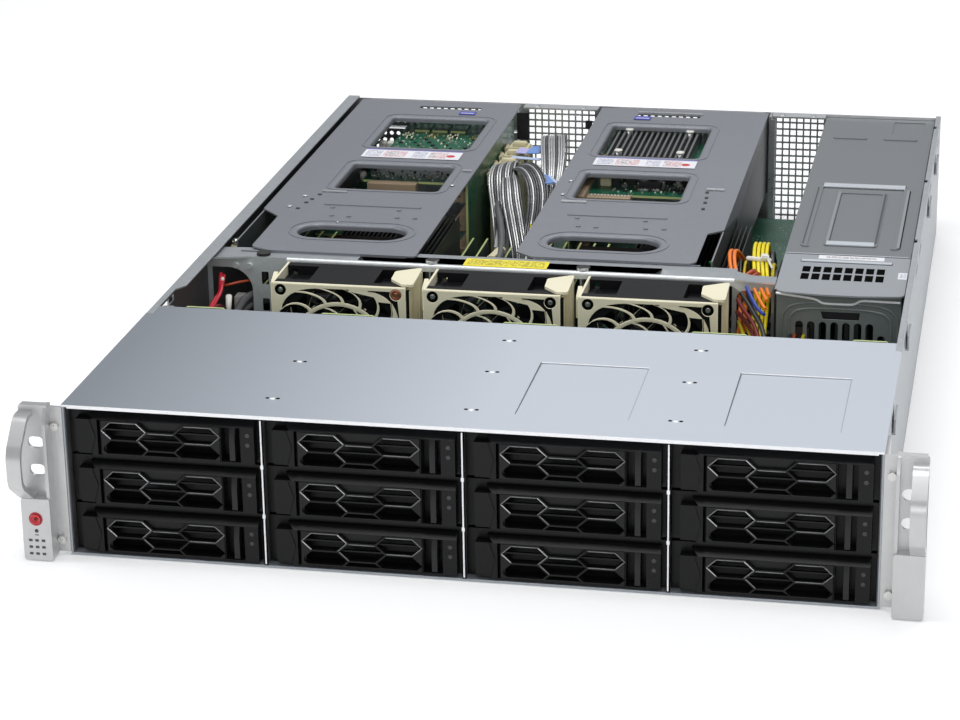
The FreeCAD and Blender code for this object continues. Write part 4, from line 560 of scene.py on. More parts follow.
# painted highlight on the rolled front of the crossbar in bright steel; the top face of the bar is a darker
# copy
dress("fan_wall", STEEL["zinc"],
      (lambda solid, spot, normal: normal.z > 0.95 and 84.3 < spot.z < 84.9, STEEL["top"]),
      (lambda solid, spot, normal: spot.y < 273.5 and spot.z > 79.0 and spot.x > BAR_LEFT, STEEL["bar"]),
      (lambda solid, spot, normal: spot.z > 68.0 and abs(spot.y - 275.8) < POST_RADIUS
       and min(abs(spot.x - post) for post in POSTS) < POST_RADIUS, PLASTIC["rubber"]),
      (lambda solid, spot, normal: spot.x < BAR_LEFT and abs(normal.y) > 0.9, STEEL["plate"]),
      (lambda solid, spot, normal: spot.z > 78.0 and spot.y < 274.0 and normal.y < 0.9, STEEL["bar"]))
dress("psu_cage", PAINTS["supply_cage"],
      (lambda solid, spot, normal: solid.size.z < 1.5 and solid.size.y > 50, STEEL["supply"]),
      (lambda solid, spot, normal: solid.size.y < 2.0 and solid.size.z > 20, BOARD["green"]),
      (lambda solid, spot, normal: solid.size.x < 60.0, PLASTIC["socket"]),
      (lambda solid, spot, normal: abs(spot.y - 260.5) < 1.5 and spot.z < 82.0, PLASTIC["socket"]))
for name in ("power_supply_1", "power_supply_2"):
    dress(name, STEEL["supply"],
          (lambda solid, spot, normal: solid.size.x < 3.0, STEEL["bright"]),
          (lambda solid, spot, normal: solid.size.z < 25.0, PLASTIC["socket"]),
          (lambda solid, spot, normal: spot.y > 650.3, PLASTIC["bezel"]))
for name in ("supply_latch_1", "supply_latch_2"):
    dress(name, PLASTIC["latch"])
print("shell dressed")

# %% [markdown]
# The drive bays: black bezels, steel rails, the drives between them, levers and buttons.

# %%
BAYS = ["c%dr%d" % (column, row) for column in (1, 2, 3, 4) for row in (1, 2, 3)]
for bay in BAYS:
    dress("drive_carrier_" + bay, PLASTIC["bezel"],
          (lambda solid, spot, normal: solid.size.x < 3.0 and solid.size.y < 5.0, PLASTIC["lamp"]),
          (lambda solid, spot, normal: solid.size.x < 3.0, STEEL["bright"]),
          (lambda solid, spot, normal: solid.low.y > 14.5, STEEL["dark_sink"]))
    dress("carrier_lever_" + bay, PLASTIC["lever"])
    dress("release_button_" + bay, PLASTIC["button"])
dress("power_button", PLASTIC["red"])
print(len(BAYS), "bays dressed")

# %% [markdown]
# Fans: beige cage, black frame and rotor, and steel screws with a copper one at the upper right. The front
# of the beige cage is painted black, as painted shade for the dark inside that shows through the curved
# grille that fan_grille adds before it.

# %%
for index in (1, 2, 3):
    rotor_low, rotor_high = drawn_box("fan_rotor_%d" % index)
    middle = (rotor_low.x + rotor_high.x) / 2
    dress("fan_module_%d" % index, PLASTIC["beige"],
          (lambda solid, spot, normal: solid.size.x < 8.0 and solid.middle.x > middle
           and solid.middle.z > 44.0, STEEL["copper_screw"]),
          (lambda solid, spot, normal: solid.size.x < 8.0, STEEL["screw"]),
          (lambda solid, spot, normal: solid.low.y > 226.5, PLASTIC["fan"]),
          # painted shade: the front faces of the cage in black
          (lambda solid, spot, normal: spot.y < 228.5 and spot.z < 83.5 and abs(normal.x) < 0.5,
           PLASTIC["fan"]))
    dress("fan_rotor_%d" % index, PLASTIC["rotor"])
print("fans dressed")

# %% [markdown]
# The boards. The mainboard holds coolers, memory, sockets, ports and capacitors. On the backplane the cut
# edges of the board show their pale resin.

# %%
dress("mainboard", PLASTIC["socket"],
      (lambda solid, spot, normal: solid.size.x > 300.0, BOARD["green"]),
      (lambda solid, spot, normal: solid.high.z < 8.5, STEEL["screw"]),
      (lambda solid, spot, normal: solid.size.x > 70.0, STEEL["dark_sink"]),
      (lambda solid, spot, normal: solid.size.x > 45.0 and solid.size.z < 3.0, STEEL["copper"]),
      (lambda solid, spot, normal: solid.size.x < 1.6 and normal.z > 0.5, BOARD["edge"]),
      (lambda solid, spot, normal: solid.size.x < 1.6, BOARD["memory"]),
      (lambda solid, spot, normal: solid.size.x > 38.0 and solid.size.y > 38.0, STEEL["bright_sink"]),
      (lambda solid, spot, normal: solid.low.y > 600.0 and solid.size.y > 20.0, STEEL["bright"]),
      (lambda solid, spot, normal: solid.size.z > 45.0 and solid.size.x < 30.0, PLASTIC["cream"]),
      (lambda solid, spot, normal: 6.0 < solid.size.x < 6.6 and solid.size.y < 7.0 and spot.z > 18.5,
       STEEL["bright"]),
      (lambda solid, spot, normal: solid.size.y < 8.0 and solid.size.z < 10.0 and solid.size.x > 10.0,
       PLASTIC["white"]))
dress("backplane", PLASTIC["socket"],
      (lambda solid, spot, normal: solid.size.x > 300.0 and abs(normal.y) < 0.5, BOARD["edge"]),
      (lambda solid, spot, normal: solid.size.x > 300.0, BOARD["green"]),
      (lambda solid, spot, normal: solid.low.y > 168.0, PLASTIC["white"]))
for name in ("riser_left", "riser_right"):
    dress(name, BOARD["green"],
          (lambda solid, spot, normal: solid.high.z > 85.5 and normal.x > 0.5 and spot.z < 80.0,
           STEEL["shade"]),
          (lambda solid, spot, normal: solid.high.z > 85.5, STEEL["riser"]),
          (lambda solid, spot, normal: solid.size.y < 1.5, STEEL["bright"]),
          (lambda solid, spot, normal: solid.size.x > 25.0 and solid.size.y < 9.5, PLASTIC["tan"]),
          (lambda solid, spot, normal: 40.0 < solid.size.x < 60.0 and solid.size.y > 70.0
           and 6.0 < solid.size.z < 12.0, STEEL["cooler"]),
          (lambda solid, spot, normal: solid.size.y > 90.0 and solid.size.x < 12.0 and solid.size.z < 12.0,
           PLASTIC["tan"]),
          (lambda solid, spot, normal: solid.size.y < 20.0, PLASTIC["chip"]),
          (lambda solid, spot, normal: abs(normal.y) > 0.5 or abs(normal.x) > 0.5 and solid.size.x > 20,
           BOARD["edge"]))
dress("cables", PLASTIC["rubber"])
print("boards dressed")

# %% [markdown]
# Sheet edges are rolled and mouldings have small radii, which is where their bright lines come from.

# %%
for name, width in (("front_cover", 0.5), ("left_ear", 0.45), ("right_ear", 0.45), ("power_button", 0.3),
                    ("psu_cage", 0.35), ("riser_left", 0.35), ("riser_right", 0.35), ("fan_wall", 0.35),
                    ("chassis_tray", 0.25)):
    rounded(name, width)
for index in (1, 2, 3):
    rounded("fan_module_%d" % index, 0.3)
for bay in BAYS:
    rounded("drive_carrier_" + bay, 0.3)
    rounded("carrier_lever_" + bay, 0.22)
    rounded("release_button_" + bay, 0.25)
print("edges rounded")

# %% [markdown]
# ## Small parts
# Connectors, chips, screws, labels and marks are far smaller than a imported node. A `Kit` gathers many
# small bodies of several materials into one piece. Every body is a bevelled box, a rounded rod, a turned
# ring or a plate with any outline, in drawing millimetres.

# %%
class Kit:
    """One piece made of many small bevelled bodies."""

    def __init__(self):
        self.mesh = bmesh.new()
        self.materials = []
        self.count = 0

    def add(self, body, material, smooth=False):
        """Takes in a finished body with its material; smooth rounds the shading of its four-sided faces."""
        if material not in self.materials:
            self.materials.append(material)
        for face in body.faces:
            face.material_index = self.materials.index(material)
            face.smooth = smooth and len(face.verts) == 4
        passed = bpy.data.meshes.new("passed")
        body.to_mesh(passed)
        body.free()
        self.mesh.from_mesh(passed)
        bpy.data.meshes.remove(passed)
        self.count += 1

    def bevel(self, body, edges, width, segments=2):
        bmesh.ops.bevel(body, geom=edges, offset=width, segments=segments, affect="EDGES",
                        clamp_overlap=True)

    def box(self, low, high, material, edge=0.2, turn=0.0, lean=0.0):
        """A box between two corners, turned about the vertical and leaned about its length, in degrees."""
        body = bmesh.new()
        bmesh.ops.create_cube(body, size=1.0)
        low, high = Vector(low), Vector(high)
        pose = rotation(turn, "Z") @ rotation(lean, "Y")
        matrix = Matrix.Translation((low + high) / 2) @ pose @ Matrix.Diagonal((*(high - low), 1.0))
        bmesh.ops.transform(body, matrix=matrix, verts=body.verts)
        self.bevel(body, body.edges[:], edge)
        self.add(body, material)

    def rod(self, foot, tip, radius, material, edge=0.2, sides=20, end_radius=None):
        """A round rod or cone with rounded rims."""
        foot, tip = Vector(foot), Vector(tip)
        end_radius = radius if end_radius is None else end_radius
        body = bmesh.new()
        bmesh.ops.create_cone(body, cap_ends=True, segments=sides, radius1=radius, radius2=end_radius,
                              depth=(tip - foot).length)
        rims = [side for side in body.edges if any(len(face.verts) > 4 for face in side.link_faces)]
        self.bevel(body, rims, edge)
        pose = (tip - foot).to_track_quat("Z", "Y").to_matrix().to_4x4()
        bmesh.ops.transform(body, matrix=Matrix.Translation((foot + tip) / 2) @ pose, verts=body.verts)
        self.add(body, material, smooth=True)

    def turned(self, foot, axis, profile, material, sides=28):
        """A ring: a closed profile of radius and height pairs, turned round an axis through its foot."""
        body = bmesh.new()
        rows = []
        for step in range(sides):
            angle = 2 * math.pi * step / sides
            rows.append([body.verts.new((r * math.cos(angle), r * math.sin(angle), h)) for r, h in profile])
        for row, following in zip(rows, rows[1:] + rows[:1]):
            for index in range(len(profile)):
                body.faces.new((row[index - 1], row[index], following[index], following[index - 1]))
        bmesh.ops.recalc_face_normals(body, faces=body.faces)
        pose = Vector(axis).to_track_quat("Z", "Y").to_matrix().to_4x4()
        bmesh.ops.transform(body, matrix=Matrix.Translation(foot) @ pose, verts=body.verts)
        self.add(body, material, smooth=True)

    def plate(self, corners, low, high, material, edge=0.05):
        """A flat plate with any outline, from one height to another."""
        body = bmesh.new()
        base = body.faces.new([body.verts.new((x, y, low)) for x, y in corners])
        lifted = bmesh.ops.extrude_face_region(body, geom=[base])["geom"]
        upper = [item for item in lifted if isinstance(item, bmesh.types.BMVert)]
        bmesh.ops.translate(body, verts=upper, vec=(0, 0, high - low))
        bmesh.ops.recalc_face_normals(body, faces=body.faces)
        self.bevel(body, body.edges[:], edge, 1)
        self.add(body, material)

    def finish(self, name, body):
        """Turns the gathered bodies into one object that rides on a body of the frame."""
        bmesh.ops.scale(self.mesh, vec=(MM, MM, MM), verts=self.mesh.verts)
        bmesh.ops.translate(self.mesh, vec=place(0, 0, 0), verts=self.mesh.verts)
        mesh = bpy.data.meshes.new(name)
        self.mesh.to_mesh(mesh)
        self.mesh.free()
        for material in self.materials:
            mesh.materials.append(material)
        made = bpy.data.objects.new(name, mesh)
        bpy.context.scene.collection.objects.link(made)
        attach(made, body)


def spread(count, first, second):
    """Places that fill the area between two corners evenly and without rows."""
    for index in range(count):
        across = (0.5 + index * 0.7549) % 1.0
        along = (0.5 + index * 0.5698) % 1.0
        yield index, first[0] + (second[0] - first[0]) * across, first[1] + (second[1] - first[1]) * along


print("spread places:", [(round(x, 2), round(y, 2)) for index, x, y in spread(3, (0, 0), (1, 1))])

# %% [markdown]
# Wires are smooth NURBS curves through listed points, one spline per wire. `side_by_side` repeats a route
# with a step, as in the imported looms.

# %%
INSULATION = (
    ("orange", (0.86, 0.20, 0.01), 0.38, 0.08), ("red_brown", (0.42, 0.06, 0.015), 0.4, 0.1),
    ("yellow", (0.87, 0.72, 0.0), 0.36, 0.06), ("dull_yellow", (0.55, 0.44, 0.01), 0.42, 0.1),
    ("black", (0.012, 0.012, 0.013), 0.34, 0.2), ("red", (0.50, 0.012, 0.03), 0.38, 0.1),
    ("dark_red", (0.16, 0.006, 0.012), 0.42, 0.15), ("blue", (0.02, 0.05, 0.36), 0.38, 0.1),
    ("green", (0.01, 0.22, 0.04), 0.38, 0.1))
WIRE = {name: moulded("wire_" + name, colour, roughness, unevenness, 900.0, 0.05)
        for name, colour, roughness, unevenness in INSULATION}
WIRE["silver"] = sheet_metal("ribbon_silver", (0.66, 0.66, 0.66), 0.3, 0.75, 0.12, (60.0, 60.0, 900.0))
WIRE["dark"] = sheet_metal("ribbon_dark", (0.12, 0.12, 0.125), 0.3, 0.7, 0.2, (60.0, 60.0, 900.0))
WIRE["sleeve"] = moulded("data_sleeve", (0.10, 0.10, 0.105), 0.42, 0.12, 900.0, 0.05)


def side_by_side(route, step, diameter, *colours):
    """One wire per colour: its route moved on by the step, its diameter and its material."""
    return [([Vector(spot) + Vector(step) * index for spot in route], diameter, WIRE[colour])
            for index, colour in enumerate(colours)]


def wires(name, body, runs, *replaced):
    """A piece of smooth round wires; each run is a route, a diameter and a material."""
    curve = bpy.data.curves.new(name, "CURVE")
    curve.dimensions = "3D"
    curve.bevel_depth = MM
    curve.bevel_resolution = 3
    curve.resolution_u = 8
    curve.use_fill_caps = True
    materials = []
    for route, diameter, material in runs:
        if material not in materials:
            materials.append(material)
            curve.materials.append(material)
        line = curve.splines.new("NURBS")
        line.points.add(len(route) - 1)
        for point, spot in zip(line.points, route):
            point.co = (*place(*spot), 1.0)
            point.radius = diameter / 2
        line.order_u = 3
        line.use_endpoint_u = True
        line.material_index = materials.index(material)
    made = bpy.data.objects.new(name, curve)
    bpy.context.scene.collection.objects.link(made)
    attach(made, body)
    if replaced:
        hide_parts(*replaced)
    print(name, "has", len(runs), "wires")


LOOMS = [
    *side_by_side([(112, 351.5, 18.6), (112, 351.5, 32), (110, 354, 52), (108, 351, 70), (102, 334, 85),
                   (106, 302, 80), (114, 284, 73), (117, 264, 60), (116, 240, 48), (108, 210, 45),
                   (104, 192, 48), (104, 177.2, 48)], (2.9, 0, 0), 2.4, "orange", "orange"),
    *side_by_side([(116, 379.5, 18.6), (116, 379.5, 34), (116, 378, 58), (116, 366, 78), (117, 342, 84),
                   (119, 316, 82), (122, 294, 79), (124, 281, 68), (124, 262, 58), (126, 236, 56),
                   (125, 206, 60), (124, 191, 62), (124, 177.2, 62)],
                  (2.6, 0, 0), 2.2, "yellow", "yellow", "yellow", "yellow"),
    *side_by_side([(147.6, 257, 56), (147.6, 246, 56), (149.5, 226, 60), (149, 204, 63), (147.5, 190, 62.5),
                   (147.5, 177.2, 62.5)], (2.6, 0, 0), 2.2, "black", "red_brown", "black", "dull_yellow"),
    *side_by_side([(148.5, 257, 46), (148.5, 246, 46), (156, 228, 48), (169, 206, 59), (173, 191, 62.5),
                   (173, 177.2, 62.5)], (2.6, 0, 0), 2.2, "black", "black", "dark_red"),
    *side_by_side([(-203.5, 294, 11), (-203.5, 285, 11), (-207, 274, 28), (-208.5, 262, 44), (-207, 236, 59),
                   (-203, 208, 60), (-197, 190, 53), (-197, 177.2, 53)],
                  (1.9, 0, 2.1), 2.2, "red", "black", "red", "dark_red"),
    *side_by_side([(-76, 508, 59), (-76, 490, 59), (-66, 446, 58), (-55, 402, 54.5), (-49, 356, 53),
                   (-50, 318, 53.5), (-58, 292, 53), (-84, 283, 54), (-128, 281, 57), (-174, 284, 55),
                   (-193, 275, 52), (-194, 256, 50), (-192, 236, 47), (-182, 212, 40), (-163, 202, 34),
                   (-150, 194, 32.5), (-150, 179.2, 32.5)], (0, 0, 6), 5.0, "sleeve", "sleeve"),
]
wires("looms", "chassis", LOOMS, "cables")

# %% [markdown]
# More wires show through the window at the right end of the fan wall, and a tie holds the yellow ones
# together.

# %%
wires("window_wires", "chassis", [
    ([(117, 264, 78), (122, 252, 77), (127, 240, 74), (134, 222, 72), (137, 206, 70)], 2.6, WIRE["black"]),
    ([(121, 264, 79), (127, 246, 73), (133, 230, 71), (136, 214, 70)], 2.4, WIRE["black"]),
    ([(120, 266, 81.5), (123, 256, 80.5), (129, 241, 76.5), (134, 232, 76.5)], 2.2, WIRE["blue"]),
    ([(124.6, 266, 80.5), (130, 249, 78), (134, 239, 77.5)], 2.2, WIRE["orange"]),
    ([(128.7, 266, 80.8), (134, 247, 80)], 2.2, WIRE["orange"]),
    ([(132.0, 266, 81), (135, 252, 81.5)], 2.2, WIRE["orange"]),
    ([(115, 264, 74), (119.5, 250, 73), (127, 235, 71), (132, 218, 68), (136, 200, 66)],
     2.6, WIRE["dark_red"]),
    ([(115, 262, 67), (123.9, 245, 65.5), (131, 216, 65), (134, 196, 63)], 2.6, WIRE["dark_red"]),
    ([(116, 262, 60.9), (121, 240, 60.2), (128, 215, 62), (132, 190, 60)], 2.4, WIRE["dull_yellow"]),
    ([(120, 262, 61.2), (124.5, 240, 61.8), (132, 210, 64), (135, 188, 62)], 2.4, WIRE["dull_yellow"]),
    ([(116, 283, 81), (120, 288, 84), (122.5, 300, 81), (121, 310, 74)], 3.0, WIRE["red_brown"]),
    ([(119, 283, 80), (123, 290, 82.5), (124.5, 300, 79), (123, 312, 72)], 2.4, WIRE["red_brown"]),
    ([(112, 340, 60), (110, 334, 78), (110.5, 318, 79), (113, 296, 74)], 1.8, WIRE["black"]),
    ([(115, 342, 58), (113, 336, 76), (113.5, 316, 79), (115, 296, 75)], 1.8, WIRE["dull_yellow"]),
    ([(129, 352, 60), (128, 349, 78), (129, 330, 82), (131, 312, 74), (132, 300, 60)], 3.4, WIRE["black"]),
    ([(132, 336, 66), (131, 326, 79), (132, 300, 81.5), (134, 288, 72)], 2.4, WIRE["dull_yellow"]),
    ([(135, 322, 62), (135.5, 306, 82), (135.6, 286, 82.8), (135.4, 272, 76)], 2.4, WIRE["black"]),
    ([(90, 346, 40), (89, 338, 70), (91, 324, 78), (97, 304, 79), (100, 292, 60)], 1.7, WIRE["green"]),
])
tie = Kit()
tie.box((114.5, 313.5, 82.4), (130.0, 317.5, 84.2), PLASTIC["white"], 0.5, 3.0, 4.0)
tie.box((123.5, 312.0, 83.6), (128.5, 319.0, 86.2), PLASTIC["white"], 0.8, 8.0)
tie.rod((128.0, 313.5, 84.4), (132.0, 300.0, 82.8), 0.9, PLASTIC["white"], 0.3, 12, 0.6)
tie.box((-203.5, 279.0, 46.0), (-197.0, 287.0, 55.0), PLASTIC["white"], 0.5)
tie.finish("wire_ties", "chassis")

# %% [markdown]
# Between the risers stand four tall connectors. Their cream tops carry flat bundles of silver wires that
# bow over and fall towards the front, with blue pull tabs. One silver bundle bends back down to the
# board.

# %%
def fan_out(count, spots, spreads, diameter, *colours):
    """A flat bundle: wires start and end apart by their own steps, which change evenly along the route."""
    runs = []
    for index in range(count):
        share = index - (count - 1) / 2
        route = [Vector(spot) + Vector(step) * share for spot, step in zip(spots, spreads)]
        runs.append((route, diameter, WIRE[colours[index % len(colours)]]))
    return runs


wires("link_ribbons", "chassis", [
    *fan_out(11, [(-37, 480, 62), (-38, 500, 74), (-42, 528, 80), (-47, 556, 83), (-52, 586, 82),
                  (-56, 606, 70), (-57, 608, 40)],
             [(1.0, 1.0, 0), (1.2, 1.2, 0), (1.5, 1.2, 0.1), (1.7, 0.6, 0.1), (1.7, 0.2, 0.1), (1.5, 0, 0),
              (1.5, 0, 0)], 1.5, "silver", "silver", "dark", "silver"),
    *fan_out(10, [(-75, 534, 73), (-75, 520, 79), (-74, 500, 79), (-71, 482, 74), (-67, 466, 64),
                  (-64, 452, 50), (-63, 446, 30)],
             [(1.3, 0.8, 0), (1.5, 1.4, 0), (1.6, 1.6, 0), (1.6, 1.6, 0), (1.3, 1.6, 0), (1, 1.6, 0),
              (1, 1, 0)], 1.5, "silver", "silver", "dark"),
    *fan_out(9, [(-70, 520, 74), (-61, 508, 81), (-52, 494, 81), (-45, 478, 76), (-41, 458, 68),
                 (-40, 436, 56), (-41, 420, 36)],
             [(0.5, 1.8, 0), (0.9, 2.0, 0), (1.0, 2.2, 0), (1.2, 2.0, 0), (1.3, 1.8, 0), (1.3, 1.2, 0),
              (1.2, 1, 0)], 1.6, "dark", "dark", "silver", "dark"),
    *fan_out(8, [(-71, 512, 73), (-67, 494, 77), (-63, 476, 75), (-59, 458, 69), (-53, 440, 60),
                 (-47, 424, 46), (-45, 416, 28)],
             [(0.8, 1.6, 0), (1.1, 1.8, 0), (1.3, 1.8, 0), (1.4, 1.6, 0), (1.4, 1.4, 0), (1.3, 1.2, 0),
              (1.2, 1, 0)], 1.5, "silver", "dark", "silver"),
    *fan_out(3, [(-41, 440, 60), (-38, 428, 52), (-37, 420, 44)], [(1.8, 1.0, 0)] * 3, 1.3, "dull_yellow"),
])
link_parts = Kit()
for index, rear in enumerate((515.0, 537.0, 559.0, 581.0)):
    link_parts.box((-83.2, rear - 6.6, 71.6), (-68.8, rear + 6.6, 73.6), PLASTIC["cream"], 0.5)
    link_parts.box((-81.0, rear - 3.4, 73.2), (-71.0, rear + 3.4, 76.4), PLASTIC["cream"], 0.7)
    link_parts.box((-86.5, rear - 5.0, 64.0), (-84.2, rear + 5.0, 72.6), PLASTIC["cream"], 0.4)
    link_parts.rod((-87.0, rear + 8.5, 60.0), (-87.0, rear + 8.5, 72.0), 1.6, PLASTIC["tan"], 0.4)
link_parts.plate([(-74, 550), (-66, 549), (-65, 561), (-73, 563)], 76.5, 77.3, PLASTIC["lilac"], 0.2)
link_parts.plate([(-65.5, 548), (-56.5, 549), (-56.0, 567), (-64.5, 566)], 77.0, 77.8, PLASTIC["blue"], 0.2)
link_parts.plate([(-76, 541), (-54, 538), (-53, 542), (-75, 546)], 75.2, 76.0, PLASTIC["pale_blue"], 0.2)
link_parts.plate([(-57, 515), (-49, 521), (-32.5, 488), (-39, 482)], 74.6, 75.3, PLASTIC["pale_blue"], 0.2)
link_parts.plate([(-56, 513), (-50, 518), (-34.5, 486), (-40, 482)], 75.3, 76.0, PLASTIC["blue"], 0.2)
link_parts.rod((-50.5, 519, 75.6), (-50.5, 519, 77.4), 3.4, PLASTIC["white"], 0.4, 28)
link_parts.plate([(-68, 455), (-64.5, 456), (-54.5, 389), (-58, 388)], 58.6, 59.6, PLASTIC["strap"], 0.2)
link_parts.box((-56.5, 362, 57.5), (-50.5, 384, 61.5), PLASTIC["cream"], 0.8, -8.0)
link_parts.box((-55.0, 344, 58.0), (-50.0, 357, 61.0), PLASTIC["white"], 0.8, -8.0)
link_parts.box((-90.0, 644, 60), (-81.0, 646, 80), PLASTIC["socket"], 0.4)
link_parts.box((-39.0, 644, 70), (-34.0, 646, 76), PLASTIC["socket"], 0.4)
link_parts.finish("link_parts", "chassis")

# %% [markdown]
# ## Riser contents
# Through the windows of the lids one sees the cards: small chips and capacitors, a long plug with solder
# points on the front edge, and a comb of pins with a dark socket grid in the front window. All of it
# lifts with its riser. `LID` is the upper face of the lids under their beads, and `CARD` that of the top
# cards.

# %%
LID = drawn_box("riser_left")[1].z - 0.35
CARD = 72.8


def front_comb(kit, window_middle):
    """Upright copper pins before a brown block, and a grid of contacts to the right of them."""
    left = window_middle - 20.0
    kit.box((left - 2, 352, 60), (left + 38, 372, 68.5), PLASTIC["slot_brown"], 0.4)
    for step in range(17):
        x = left + step * 2.05
        kit.rod((x, 346.5, 63.0), (x, 350.5, 71.0), 0.55, STEEL["copper"], 0.15, 10)
    kit.box((left - 1.5, 350.5, 66.0), (left + 35, 353.0, 71.6), PLASTIC["slot_brown"], 0.3)
    kit.box((left + 38, 351, 60), (left + 58, 372, 70.4), PLASTIC["socket"], 0.4)
    for row in range(3):
        for step in range(8):
            x, y = left + 40 + step * 2.2, 354.5 + row * 4.6
            kit.box((x, y, 70.3), (x + 1.2, y + 1.6, 71.0), PLASTIC["grid"], 0.1)


def small_parts(kit, count, first, second, floor_z, choices):
    """Chips and capacitors spread over a card: each choice is a size and the material of the body."""
    for index, x, y in spread(count, first, second):
        (wide, long, high), material = choices[index % len(choices)]
        kit.box((x - wide / 2, y - long / 2, floor_z - 0.1), (x + wide / 2, y + long / 2, floor_z + high),
                material, 0.12)


TINY = [((2.0, 1.2, 0.8), PLASTIC["chip"]), ((1.2, 1.8, 0.8), PLASTIC["beige"]),
        ((1.0, 1.0, 0.7), PLASTIC["white"]), ((2.6, 2.6, 1.0), PLASTIC["chip"]),
        ((1.6, 0.9, 0.7), STEEL["bright"]), ((1.4, 1.4, 0.8), PLASTIC["tan"])]
print(len(TINY), "kinds of tiny parts, lids at", round(LID, 2))

# %% [markdown]
# The left riser: solder pads on the edge of the card, chips and capacitors, a white plug, and the raised
# marks and screws of the lid. Its bright bars are painted highlights of the folds of the lid.

# %%
left_riser = Kit()
front_comb(left_riser, -137.5)
for step in range(22):
    x = -165.5 + step * 3.1
    slant = (step * 5) % 7 * 0.7
    left_riser.box((x, 492.0 + slant, CARD), (x + 0.7, 498.0 + slant * 1.6, CARD + 0.9), BOARD["pad"], 0.15,
                   24.0)
small_parts(left_riser, 46, (-166, 487), (-98, 520), CARD, TINY[1:3] + TINY[:1] + TINY[4:])
small_parts(left_riser, 70, (-167, 560), (-98, 606), CARD, TINY)
small_parts(left_riser, 26, (-165, 592), (-100, 606), CARD,
            [((1.0, 3.4, 1.0), PLASTIC["beige"]), ((0.9, 2.6, 0.9), STEEL["gold"])])
left_riser.rod((-173, 503, 66), (-173, 503, 73), 2.4, PLASTIC["white"], 0.7)
for x in (-178.0, -172.6):
    left_riser.box((x, 573, 68), (x + 4.4, 580, 74), PLASTIC["white"], 0.5)
# painted highlights: bright bars on the folds of the lid
left_riser.box((-95.0, 466.6, LID), (-88.6, 468.8, LID + 0.9), STEEL["bright"], 0.3)
left_riser.rod((-94.7, 432.8, LID), (-94.7, 432.8, LID + 0.7), 1.5, STEEL["bright"], 0.3)
left_riser.box((-178.0, 407.2, LID - 0.2), (-161.0, 409.4, LID + 0.7), STEEL["bright"], 0.3)
for spot_x, spot_y, radius in ((-186.4, 396.0, 1.6), (-190.6, 372.0, 1.6), (-151.0, 342.0, 0.9)):
    left_riser.rod((spot_x, spot_y, LID - 0.1), (spot_x, spot_y, LID + 0.5), radius, STEEL["bright"], 0.25)
for spot_x, spot_y in ((-179.0, 400.0), (-181.6, 389.0), (-183.4, 381.0), (-185.6, 367.5)):
    left_riser.box((spot_x, spot_y, LID), (spot_x + 2.6, spot_y + 2.2, LID + 0.12), PLASTIC["socket"], 0.1)
left_riser.finish("riser_left_parts", "riser_left")

# %% [markdown]
# The right riser: pins of the long plug, chips with their legs, chokes, spring screws of the cooler, and the
# raised marks and screws of the lid. Its bright bars are painted highlights of the folds of the lid.

# %%
right_riser = Kit()
front_comb(right_riser, 24.0)
right_riser.box((47.0, 348, 64), (56.0, 352, 66), PLASTIC["white"], 0.3, 0.0, 40.0)
right_riser.box((52.0, 348, 64), (61.0, 352, 66), PLASTIC["white"], 0.3, 0.0, -50.0)
for step in range(12):
    x = -6.6 + step * 2.3
    right_riser.rod((x, 470.0, CARD - 0.2), (x, 470.0, CARD + 0.8), 0.62, PLASTIC["white"], 0.25, 10)
    right_riser.rod((x + 0.6, 467.4, CARD - 0.2), (x + 0.6, 467.4, CARD + 0.4), 0.45, PLASTIC["tan"], 0.2,
                    10)
right_riser.box((-4.0, 491.5, CARD), (3.4, 505.0, CARD + 5.5), PLASTIC["cream"], 0.5)
right_riser.box((-2.6, 494.0, CARD + 5.3), (2.0, 502.0, CARD + 6.2), PLASTIC["tan"], 0.4)
right_riser.box((22.5, 488.0, CARD), (37.5, 501.5, CARD + 1.7), PLASTIC["chip"], 0.25)
right_riser.box((22.5, 485.8, CARD), (37.5, 486.9, CARD + 0.5), STEEL["bright"], 0.1)
for step in range(9):
    x = 23.2 + step * 1.65
    right_riser.box((x, 486.6, CARD), (x + 0.7, 488.4, CARD + 0.7), STEEL["bright"], 0.1)
for step in range(7):
    right_riser.box((40.0 + step * 2.4, 486.0, CARD), (41.2 + step * 2.4, 497.0 - step % 3 * 3, CARD + 0.8),
                    PLASTIC["chip"], 0.15)
CHOKES = ((6.0, 497.0), (8.0, 511.0), (17.0, 500.0), (16.0, 513.0), (30.0, 511.0), (42.0, 509.0),
          (54.0, 507.0))
for x, y in CHOKES:
    right_riser.box((x - 3.4, y - 3.4, CARD), (x + 3.4, y + 3.4, CARD + 3.2), PLASTIC["chip"], 0.5)
small_parts(right_riser, 90, (4, 478), (62, 520), CARD, TINY)
for x, y in ((0.5, 600.0), (44.0, 545.0), (0.5, 545.0), (44.0, 600.0)):
    right_riser.rod((x, y, CARD), (x, y, CARD + 10.2), 2.2, STEEL["bright"], 0.5)
    right_riser.rod((x, y, CARD + 9.8), (x, y, CARD + 11.0), 3.0, PLASTIC["white"], 0.5)
